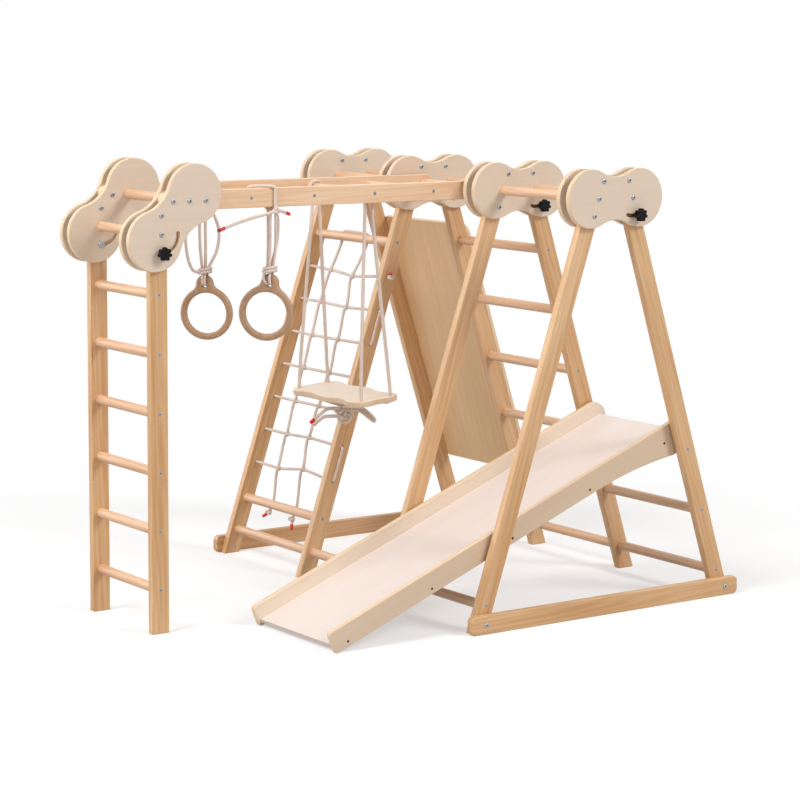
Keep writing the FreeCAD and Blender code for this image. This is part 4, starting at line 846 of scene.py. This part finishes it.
def ring_hitch(ropes, name, x, y):
    """A turn of rope slantwise over an overhead rail, tied in front, with two free tails."""
    def at(along, across, z):
        return Vector((x + along, y + across, z))

    tie = at(0, -0.0173, 1.0625)
    loop = [tie] + [at(*place) for place in (
        (0, -0.0158, 1.085), (0, -0.0158, 1.112), (0, -0.016, 1.1246), (-0.064, 0.016, 1.1246),
        (-0.06, 0.0158, 1.112), (-0.008, 0.0158, 1.07), (0, 0.0158, 1.0572), (0, -0.0158, 1.0572),
        (0, -0.0176, 1.0600))]
    long_tail = [tie, tie + Vector((-0.018, -0.003, -0.008)), tie + Vector((-0.08, -0.002, -0.0165)),
                 tie + Vector((-0.172, 0, -0.046))]
    short_tail = [tie, tie + Vector((0.02, 0.003, -0.002)), tie + Vector((0.0465, 0.010, -0.012))]
    knot = ropes.knot("ring_tie_" + name, [tie + Vector((0, -0.003, 0))], HITCH_KNOT, [ACROSS])
    nodes = ["ring_hitch_" + name]
    ropes.cord("ring_hitch_%s_loop" % name, loop, HITCH_LENGTH, "object", "taut", nodes, [knot])
    end, way = ending(long_tail)
    red = ropes.red_tips("ring_tail_%s_sleeve" % name, [(end - way * DARK_END, way)])
    shade = paint(ropes.colours.tip_black)
    dark = bpy.data.materials.get("dark_sleeve") or moulded("dark_sleeve", shade, 0.4)
    black = ropes.tips("ring_tail_%s_end" % name, [(end, way)], dark, DARK_END, DARK_GROW)
    ropes.cord("ring_tail_%s_long" % name, long_tail, TAIL_LENGTHS[0], "bare", "hanging", (), [red, black])
    cap = ropes.red_tips("ring_tail_%s_cap" % name, [ending(short_tail)])
    ropes.cord("ring_tail_%s_short" % name, short_tail, TAIL_LENGTHS[1], "bare", "hanging", (), [cap])


def hairpin(x, y, shift, knot_z, bulges):
    """Strand up from a knot, over the hitch and back. A bulge is a list of (out, height) or None."""
    def half(way, bulge):
        low = knot_z + 0.3 * (HINGE_Z - knot_z)
        straight = [(STRAND_OUT, low), (STRAND_OUT, HINGE_Z - 0.03), (STRAND_OUT, HINGE_Z - 0.002)]
        near = TURN_SHARE * STRAND_OUT
        turn = [(STRAND_OUT, HINGE_Z + near), (near, HINGE_Z + STRAND_OUT)]
        places = [(shift * way + STRAND_OUT / 2, knot_z), *(bulge or straight), *turn]
        return [Vector((x + way * out, y, z)) for out, z in places]

    return half(-1, bulges[0]) + half(1, bulges[1])[::-1]


def tab_loop(place, side, lean):
    """From the knot down one face of the ring's tab, through its hole and up the other face."""
    def at(out, z, more=0.0):
        return place + RING_FACING * out + RING_ACROSS * (side + more) + Vector((0, 0, z))

    low, over = 0.0005 - TAB_DROP, 0.014 - TAB_DROP
    front = [at(0.004, 0), at(0.0145, -0.012, lean), at(0.0150, over, lean), at(0.0136, low)]
    return front + [at(-0.0136, low), at(-0.0150, over), at(-0.0145, -0.012), at(-0.004, 0)]


class CLIMBER_OT_ring_ropes(bpy.types.Operator):
    """Hang the hand rings on doubled ropes from hitches over the overhead rails"""
    bl_idname = "climber.ring_ropes"
    bl_label = "Ring ropes"

    def execute(self, context):
        wide_left = [(0.026, 0.8778), (0.043, 0.8918), (0.055, 0.9318), (0.059, 0.9868), (0.043, 1.0298)]
        wide_right = [(0.018, 0.8998), (0.040, 0.9338), (0.048, 0.9818), (0.035, 1.0238)]
        slack = [(0.0155, 0.962), (0.022, 1.015), (0.020, 1.045)]
        plan = [
            ("near", -0.386441, -RAIL_Y, -0.007, 0.9098, [(None, None), (None, slack)],
             [0.31, 0.326], -0.010),
            ("far", -0.405441, RAIL_Y, 0.004, 0.8818, [(wide_left, wide_right), (None, None)],
             [0.437, 0.366], 0.0),
        ]
        for name, x, y, shift, knot_z, bulges, lengths, lean in plan:
            ring_hitch(Ropes(context, "frame", TOY_ROPE), name, x, y)
            ropes = Ropes(context, "ring_" + name, TOY_ROPE)
            tied = Vector((x + shift, y, knot_z))
            knot = ropes.collar("ring_knot_" + name, tied, COLLAR_REACH, COLLAR_TURNS, COLLAR_LEAN)
            node, pieces = ["ring_rope_" + name], [knot]
            for step, spread, long in zip((-1, 1), bulges, lengths):
                route = hairpin(x, y + step * STRAND_DEEP, shift, knot_z, spread)
                label = "ring_strands_%s_%s" % (name, "front" if step < 0 else "back")
                ropes.cord(label, route, long, "object", "hanging", node, pieces)
                node, pieces = [], []
            thin = Ropes(context, "ring_" + name, TAB_ROPE)
            left, right = tab_loop(tied, -TAB_STRAND, lean), tab_loop(tied, TAB_STRAND, 0.0)
            thin.cord("ring_loop_%s_left" % name, left, TAB_LENGTHS[0], "object", "taut")
            thin.cord("ring_loop_%s_right" % name, right, TAB_LENGTHS[1], "object", "taut")
        return {"FINISHED"}


# Routes of the swing ropes
SEAT_LOW = 0.537
SEAT_THICK = 0.015
HOLE_X = 0.047
HOLE_Y = 0.149
SLING_HALF = 0.1215
FAR_SLING = 0.008
UNDER_SEAT = -0.0045
BOW_DROP = -0.0243
BOW_KNOT = 0.0172
SLING_LENGTH = 1.46
BOW_TAIL = 0.110
BOW_END = 0.088
BOW_EAR = 0.2
BOW_LOOP = 0.103


def on_seat(x, y, up):
    """Place from the middle of the seat's lower face, square to it."""
    turned = Matrix.Rotation(-SEAT_TILT, 3, "Y") @ Vector((x, y, up))
    return Vector((SEAT_X, SWING_Y, SEAT_LOW)) + turned


def sling_route(out):
    """From the tie under the seat up through a hole, over the rung and down through the next hole."""
    top_y = SWING_Y + out * SLING_HALF + max(out, 0) * FAR_SLING
    hole_y = out * HOLE_Y
    halves = []
    for step in (-1, 1):
        x = step * HOLE_X
        over = [Vector((SWING_X + step * across, top_y, PIVOT_Z + z))
                for across, z in ((0.0128, -0.078), (0.0108, -0.033), (0.0182, -0.012), (0.0178, 0.0186))]
        halves.append([
            on_seat(step * 0.004, out * 0.010, BOW_DROP), on_seat(x * 0.45, hole_y * 0.45, -0.0135),
            on_seat(x * 0.82, hole_y * 0.82, UNDER_SEAT), on_seat(x, hole_y, UNDER_SEAT),
            on_seat(x, hole_y, SEAT_THICK + 0.03), *over,
        ])
    return halves[0] + halves[1][::-1]


class CLIMBER_OT_swing_ropes(bpy.types.Operator):
    """Hang the seat on two ropes over an overhead rung and tie them in a bow under it"""
    bl_idname = "climber.swing_ropes"
    bl_label = "Swing ropes"

    def execute(self, context):
        ropes = Ropes(context, "swing", TOY_ROPE, LOOSE_LAY)
        tie = on_seat(0, 0, BOW_DROP) - Vector((0, 0, 0.010))

        def from_tie(*places):
            return [tie + Vector(place) for place in places]

        places = from_tie((-0.010, 0.009, -0.003), (0.010, -0.009, -0.005), (0.002, -0.004, -0.015))
        knot = ropes.knot("swing_bow_knot", places, BOW_KNOT,
                          [Vector((0.2, 0.1, 1)), Vector((1, 0.6, 0.7)), Vector((0.5, 0.8, 0.3))])
        near = sling_route(-1)
        ropes.cord("swing_rope_near", near, SLING_LENGTH, "object", "taut", ["swing_ropes"], [knot])
        ropes.cord("swing_rope_far", sling_route(1), SLING_LENGTH, "object", "taut")
        left = from_tie((0, 0, 0), (-0.03, 0.027, 0.005), (-0.046, 0.042, -0.008), (-0.070, 0.0625, -0.038))
        low = from_tie((-0.006, 0.005, -0.018), (-0.030, 0.027, -0.020), (-0.046, 0.0415, -0.020),
                       (-0.064, 0.0575, -0.046))
        ear = from_tie((0, 0, 0.002), (0.012, -0.034, 0.012), (0.021, -0.054, 0.008),
                       (0.038, -0.086, -0.018), (0.036, -0.089, -0.028), (0.018, -0.054, -0.001),
                       (0.010, -0.034, 0.004), (0, 0, -0.002))
        sleeve = ropes.red_tips("swing_bow_sleeve", [ending(left)])
        ropes.cord("swing_bow_tail", left, BOW_TAIL, "bare", "hanging", (), [sleeve])
        ropes.cord("swing_bow_end", low, BOW_END, "bare", "hanging")
        ropes.cord("swing_bow_ear", ear, BOW_EAR, "object", "hanging")
        away = Vector((-0.64, 0.58, 0)).normalized()
        loop = [tie + away * across + Vector((0, 0, z)) for across, z in (
            (0.004, 0.0), (0.019, -0.006), (0.0195, -0.028), (0.004, -0.0385), (-0.012, -0.034),
            (-0.017, -0.012), (-0.006, 0.0))]
        ropes.cord("swing_bow_loop", loop, BOW_LOOP, "object", "hanging")
        return {"FINISHED"}


# Timber, plywood and hardware
GRAIN_UP = (0.0, 0.0, 0.0)
GRAIN_X = (0.0, math.radians(90), 0.0)
GRAIN_Y = (math.radians(90), 0.0, 0.0)


class CLIMBER_OT_timber(bpy.types.Operator):
    """Round over the pine legs, posts, rails and base bars"""
    bl_idname = "climber.timber"
    bl_label = "Pine timber"

    def execute(self, context):
        sizes, colours = context.scene.climber_sizes, context.scene.climber_colours
        groups = [
            ("pine_left_legs", colours.pine_light, colours.pine_dark, (0.0, LEAN, 0.0), LEFT_LEGS),
            ("pine_right_legs", colours.pine_light, colours.pine_dark, (0.0, -LEAN, 0.0), RIGHT_LEGS),
            ("pine_posts", colours.pine_light, colours.pine_dark, GRAIN_UP, POSTS),
            ("pine_bars", colours.pine_light, colours.pine_dark, GRAIN_X, BARS),
            ("pine_rails", colours.rail_light, colours.rail_dark, GRAIN_X, RAILS),
        ]
        for name, light, dark, turn, nodes in groups:
            finish = pine(name, light, dark, turn)
            for node in nodes:
                softened(node, finish, sizes.timber_round, sizes.round_steps)
        return {"FINISHED"}


class CLIMBER_OT_rods(bpy.types.Operator):
    """Finish the turned pine rungs and dowels"""
    bl_idname = "climber.rods"
    bl_label = "Rungs and dowels"

    def execute(self, context):
        colours = context.scene.climber_colours
        finish = pine("pine_rods", colours.rod_light, colours.rod_dark, GRAIN_Y)
        for node in RODS:
            softened(node, finish, 0.0, 1)
        return {"FINISHED"}


class CLIMBER_OT_plywood(bpy.types.Operator):
    """Round over the plywood hubs, slide, climbing board and seat"""
    bl_idname = "climber.plywood"
    bl_label = "Plywood"

    def execute(self, context):
        sizes, colours = context.scene.climber_sizes, context.scene.climber_colours
        light, dark = colours.veneer_light, colours.veneer_dark
        slope = (0.0, math.radians(90) - SLIDE_ANGLE, 0.0)
        deck_up = (-math.sin(SLIDE_ANGLE), 0.0, math.cos(SLIDE_ANGLE))
        board_out = (math.cos(LEAN), 0.0, math.sin(LEAN))
        seat_up = (-math.sin(SEAT_TILT), 0.0, math.cos(SEAT_TILT))
        across = (0.0, 1.0, 0.0)
        steps = sizes.round_steps
        plies = (colours.ply_light, colours.ply_dark)
        hubs = plywood("plywood_hubs", light, dark, plies, GRAIN_X, across)
        for node in PLATES:
            softened(node, hubs, sizes.plywood_round, steps)
        sides = plywood("plywood_slide_sides", colours.side_light, colours.side_dark, plies, slope, across)
        softened("slide_side_near", sides, sizes.plywood_round, steps)
        # The far side gets the lighter copy of the side plywood: painted light for the bounce light on its
        # inner face, with some board-to-board variation.
        lit_far_side = (colours.far_side_lit_pale, colours.far_side_lit_dark)
        pale = plywood("plywood_slide_far_side_lit", *lit_far_side, plies, slope, across)
        softened("slide_side_far", pale, sizes.plywood_round, steps)
        edge = (colours.deck_dark, colours.deck_edge)
        deck = plywood("plywood_deck", colours.deck_light, colours.deck_dark, edge, slope, deck_up)
        softened("slide_deck", deck, sizes.deck_round, steps)
        board = plywood("plywood_board", colours.board_light, colours.board_dark, plies, (0.0, -LEAN, 0.0),
                        board_out)
        softened("climbing_board", board, sizes.plywood_round, steps)
        rim = (colours.seat_edge, colours.ply_dark)
        seat = plywood("plywood_seat", colours.seat_light, colours.seat_dark, rim, GRAIN_Y, seat_up)
        softened("swing_seat", seat, sizes.seat_round, steps)
        return {"FINISHED"}


class CLIMBER_OT_rings(bpy.types.Operator):
    """Round over the wooden hand rings"""
    bl_idname = "climber.rings"
    bl_label = "Hand rings"

    def execute(self, context):
        sizes = context.scene.climber_sizes
        finish = ring_wood("ring_hardwood", context.scene.climber_colours, GRAIN_UP)
        for node in ("ring_near", "ring_far"):
            softened(node, finish, sizes.ring_round, RING_STEPS)
        return {"FINISHED"}


class CLIMBER_OT_fasteners(bpy.types.Operator):
    """Dome the bolts and studs and cut the driver recesses of bolts and screws"""
    bl_idname = "climber.fasteners"
    bl_label = "Bolts and screws"

    def execute(self, context):
        sizes, colours = context.scene.climber_sizes, context.scene.climber_colours
        plated = metal("plated_steel", paint(colours.steel_light), 0.26, 0.2)
        coated = metal("coated_steel", paint(colours.steel_dark), 0.45, 0.2)
        for node in BOLTS:
            hardware(node, plated, BOLT_HEAD, sizes.head_round)
        for node in STUDS:
            hardware(node, plated, STUD_HEAD, sizes.head_round)
        for node in SCREWS:
            hardware(node, plated, SCREW_HEAD)
        hardware("slide_screws", coated, SMALL_HEAD)
        return {"FINISHED"}


class CLIMBER_OT_knobs(bpy.types.Operator):
    """Soften the moulded star knobs"""
    bl_idname = "climber.knobs"
    bl_label = "Star knobs"

    def execute(self, context):
        sizes = context.scene.climber_sizes
        finish = moulded("black_moulding", paint(context.scene.climber_colours.knob_black), 0.34, 0.14)
        for node in KNOBS:
            softened(node, finish, sizes.knob_round, sizes.round_steps)
        return {"FINISHED"}


# Floor, lamps and backdrop
WHITE = (1.0, 1.0, 1.0, 1.0)
FLOOR_GREY = (0.62, 0.62, 0.62, 1.0)
FLOOR_HALF = 40.0
FLOOR_GLOW = 0.42
FLOOR_FADE = (1.2, 2.6)
PANEL_WAY = (-0.62, 0.75, 0.23)
PANEL_FADE = (0.55, 0.9)
SIDE_LAMP = ((-6.0, -0.6, 6.6), 4.0)
FRONT_LAMP = ((6.4, -11.16, 9.64), 5.4)
LAMP_AIM = Vector((0.1, 0.0, 0.55))
FILM_WIDTH = 36.0
FAR_CLIP = 100.0


class CLIMBER_OT_stage(bpy.types.Operator):
    """Set up the pale floor, the soft lamps and the camera"""
    bl_idname = "climber.stage"
    bl_label = "Stage"

    def execute(self, context):
        settings = context.scene.climber_stage
        context.scene.view_settings.view_transform = "Standard"
        self.floor()
        self.room(settings.sky, settings.panel)
        self.lamp("side_lamp", *SIDE_LAMP, settings.side_power)
        self.lamp("front_lamp", *FRONT_LAMP, settings.front_power)
        self.camera(settings)
        return {"FINISHED"}

    def floor(self):
        mesh = bmesh.new()
        bmesh.ops.create_grid(mesh, x_segments=1, y_segments=1, size=FLOOR_HALF)
        data = bpy.data.meshes.new("floor")
        mesh.to_mesh(data)
        mesh.free()
        finish = Finish("white_floor")
        places = finish.coordinates()
        away = finish.add("ShaderNodeVectorMath", {"operation": "LENGTH"}, {0: places}, "Value")
        plain = finish.add("ShaderNodeBsdfDiffuse", {}, {"Color": FLOOR_GREY})
        glow = finish.add("ShaderNodeEmission", {}, {"Color": WHITE, "Strength": FLOOR_GLOW})
        white = finish.add("ShaderNodeEmission", {}, {"Color": WHITE, "Strength": 1.0})
        lifted = finish.add("ShaderNodeAddShader", {}, {0: plain, 1: glow})
        far = finish.soft_step(away, *FLOOR_FADE)
        faded = finish.add("ShaderNodeMixShader", {}, {0: far, 1: lifted, 2: white})
        shown = finish.add("ShaderNodeMixShader", {}, {0: self.seen(finish), 1: plain, 2: faded})
        finish.add_output("ShaderNodeOutputMaterial", shown)
        data.materials.append(finish.material)
        floor = bpy.data.objects.new("floor", data)
        bpy.context.scene.collection.objects.link(floor)

    def seen(self, finish):
        """1 for what the camera sees, straight or in a reflection."""
        rays = [finish.add("ShaderNodeLightPath", {}, {}, ray)
                for ray in ("Is Camera Ray", "Is Glossy Ray", "Is Transmission Ray")]
        total = rays[0] + rays[1] + rays[2]
        return finish.add("ShaderNodeMath", {"operation": "MINIMUM"}, {0: total, 1: 1.0})

    def room(self, strength, panel):
        world = bpy.data.worlds.new("white_room")
        world.use_nodes = True
        bpy.context.scene.world = world
        finish = Finish("white_room", world.node_tree)
        light = finish.add("ShaderNodeBackground", {}, {"Color": WHITE, "Strength": strength})
        shown = finish.add("ShaderNodeBackground", {}, {"Color": WHITE, "Strength": 1.0})
        mixed = finish.add("ShaderNodeMixShader", {}, {0: self.seen(finish), 1: light, 2: shown})
        bright = finish.add("ShaderNodeBackground", {}, {"Color": WHITE, "Strength": panel})
        ways = finish.coordinates("Generated")
        toward = finish.dot(ways, PANEL_WAY)
        glossy = finish.add("ShaderNodeLightPath", {}, {}, "Is Glossy Ray")
        gloss = glossy * finish.soft_step(toward, *PANEL_FADE)
        lit = finish.add("ShaderNodeMixShader", {}, {0: gloss, 1: mixed, 2: bright})
        finish.add_output("ShaderNodeOutputWorld", lit)

    def lamp(self, name, place, size, power):
        data = bpy.data.lights.new(name, "AREA")
        data.shape = "DISK"
        data.size = size
        data.energy = power
        lamp = bpy.data.objects.new(name, data)
        lamp.location = place
        aim = LAMP_AIM - Vector(place)
        lamp.rotation_euler = aim.to_track_quat("-Z", "Y").to_euler()
        bpy.context.scene.collection.objects.link(lamp)

    def camera(self, settings):
        data = bpy.data.cameras.new("camera")
        data.sensor_width = FILM_WIDTH
        data.lens = settings.lens
        data.clip_end = FAR_CLIP
        camera = bpy.data.objects.new("camera", data)
        ahead = Vector((math.sin(settings.yaw) * math.cos(settings.pitch),
                        math.cos(settings.yaw) * math.cos(settings.pitch), -math.sin(settings.pitch)))
        level = Vector((math.cos(settings.yaw), -math.sin(settings.yaw), 0.0))
        above = level.cross(ahead)
        right = level * math.cos(settings.roll) + above * math.sin(settings.roll)
        up = above * math.cos(settings.roll) - level * math.sin(settings.roll)
        turn = Matrix((right, up, -ahead)).transposed().to_4x4()
        camera.matrix_world = Matrix.Translation(settings.eye) @ turn
        bpy.context.scene.collection.objects.link(camera)
        bpy.context.scene.camera = camera


class CLIMBER_PT_panel(bpy.types.Panel):
    """Lists the climber's pieces in the sidebar"""
    bl_idname = "CLIMBER_PT_panel"
    bl_label = "Wooden climber"
    bl_space_type = "VIEW_3D"
    bl_region_type = "UI"
    bl_category = "Climber"

    def draw(self, context):
        scene = context.scene
        for group in (scene.climber_sizes, scene.climber_colours, scene.climber_stage):
            column = self.layout.column()
            for name in group.bl_rna.properties.keys():
                if name not in ("rna_type", "name"):
                    column.prop(group, name)
        for operator in OPERATORS:
            self.layout.operator(operator.bl_idname)


GROUPS = [
    ("climber_sizes", ClimberSizes),
    ("climber_colours", ClimberColours),
    ("climber_stage", ClimberStage),
]
OPERATORS = [
    CLIMBER_OT_stage, CLIMBER_OT_net, CLIMBER_OT_ring_ropes, CLIMBER_OT_swing_ropes, CLIMBER_OT_timber,
    CLIMBER_OT_rods, CLIMBER_OT_plywood, CLIMBER_OT_rings, CLIMBER_OT_fasteners, CLIMBER_OT_knobs,
]


def register():
    for name, group in GROUPS:
        bpy.utils.register_class(group)
        setattr(bpy.types.Scene, name, PointerProperty(type=group))
    for kind in OPERATORS + [CLIMBER_PT_panel]:
        bpy.utils.register_class(kind)


def unregister():
    for kind in reversed(OPERATORS + [CLIMBER_PT_panel]):
        bpy.utils.unregister_class(kind)
    for name, group in reversed(GROUPS):
        delattr(bpy.types.Scene, name)
        bpy.utils.unregister_class(group)


def main():
    register()
    bpy.ops.climber.stage()
    bpy.ops.climber.net()
    bpy.ops.climber.ring_ropes()
    bpy.ops.climber.swing_ropes()
    bpy.ops.climber.timber()
    bpy.ops.climber.rods()
    bpy.ops.climber.plywood()
    bpy.ops.climber.rings()
    bpy.ops.climber.fasteners()
    bpy.ops.climber.knobs()


if __name__ == "__main__":
    main()
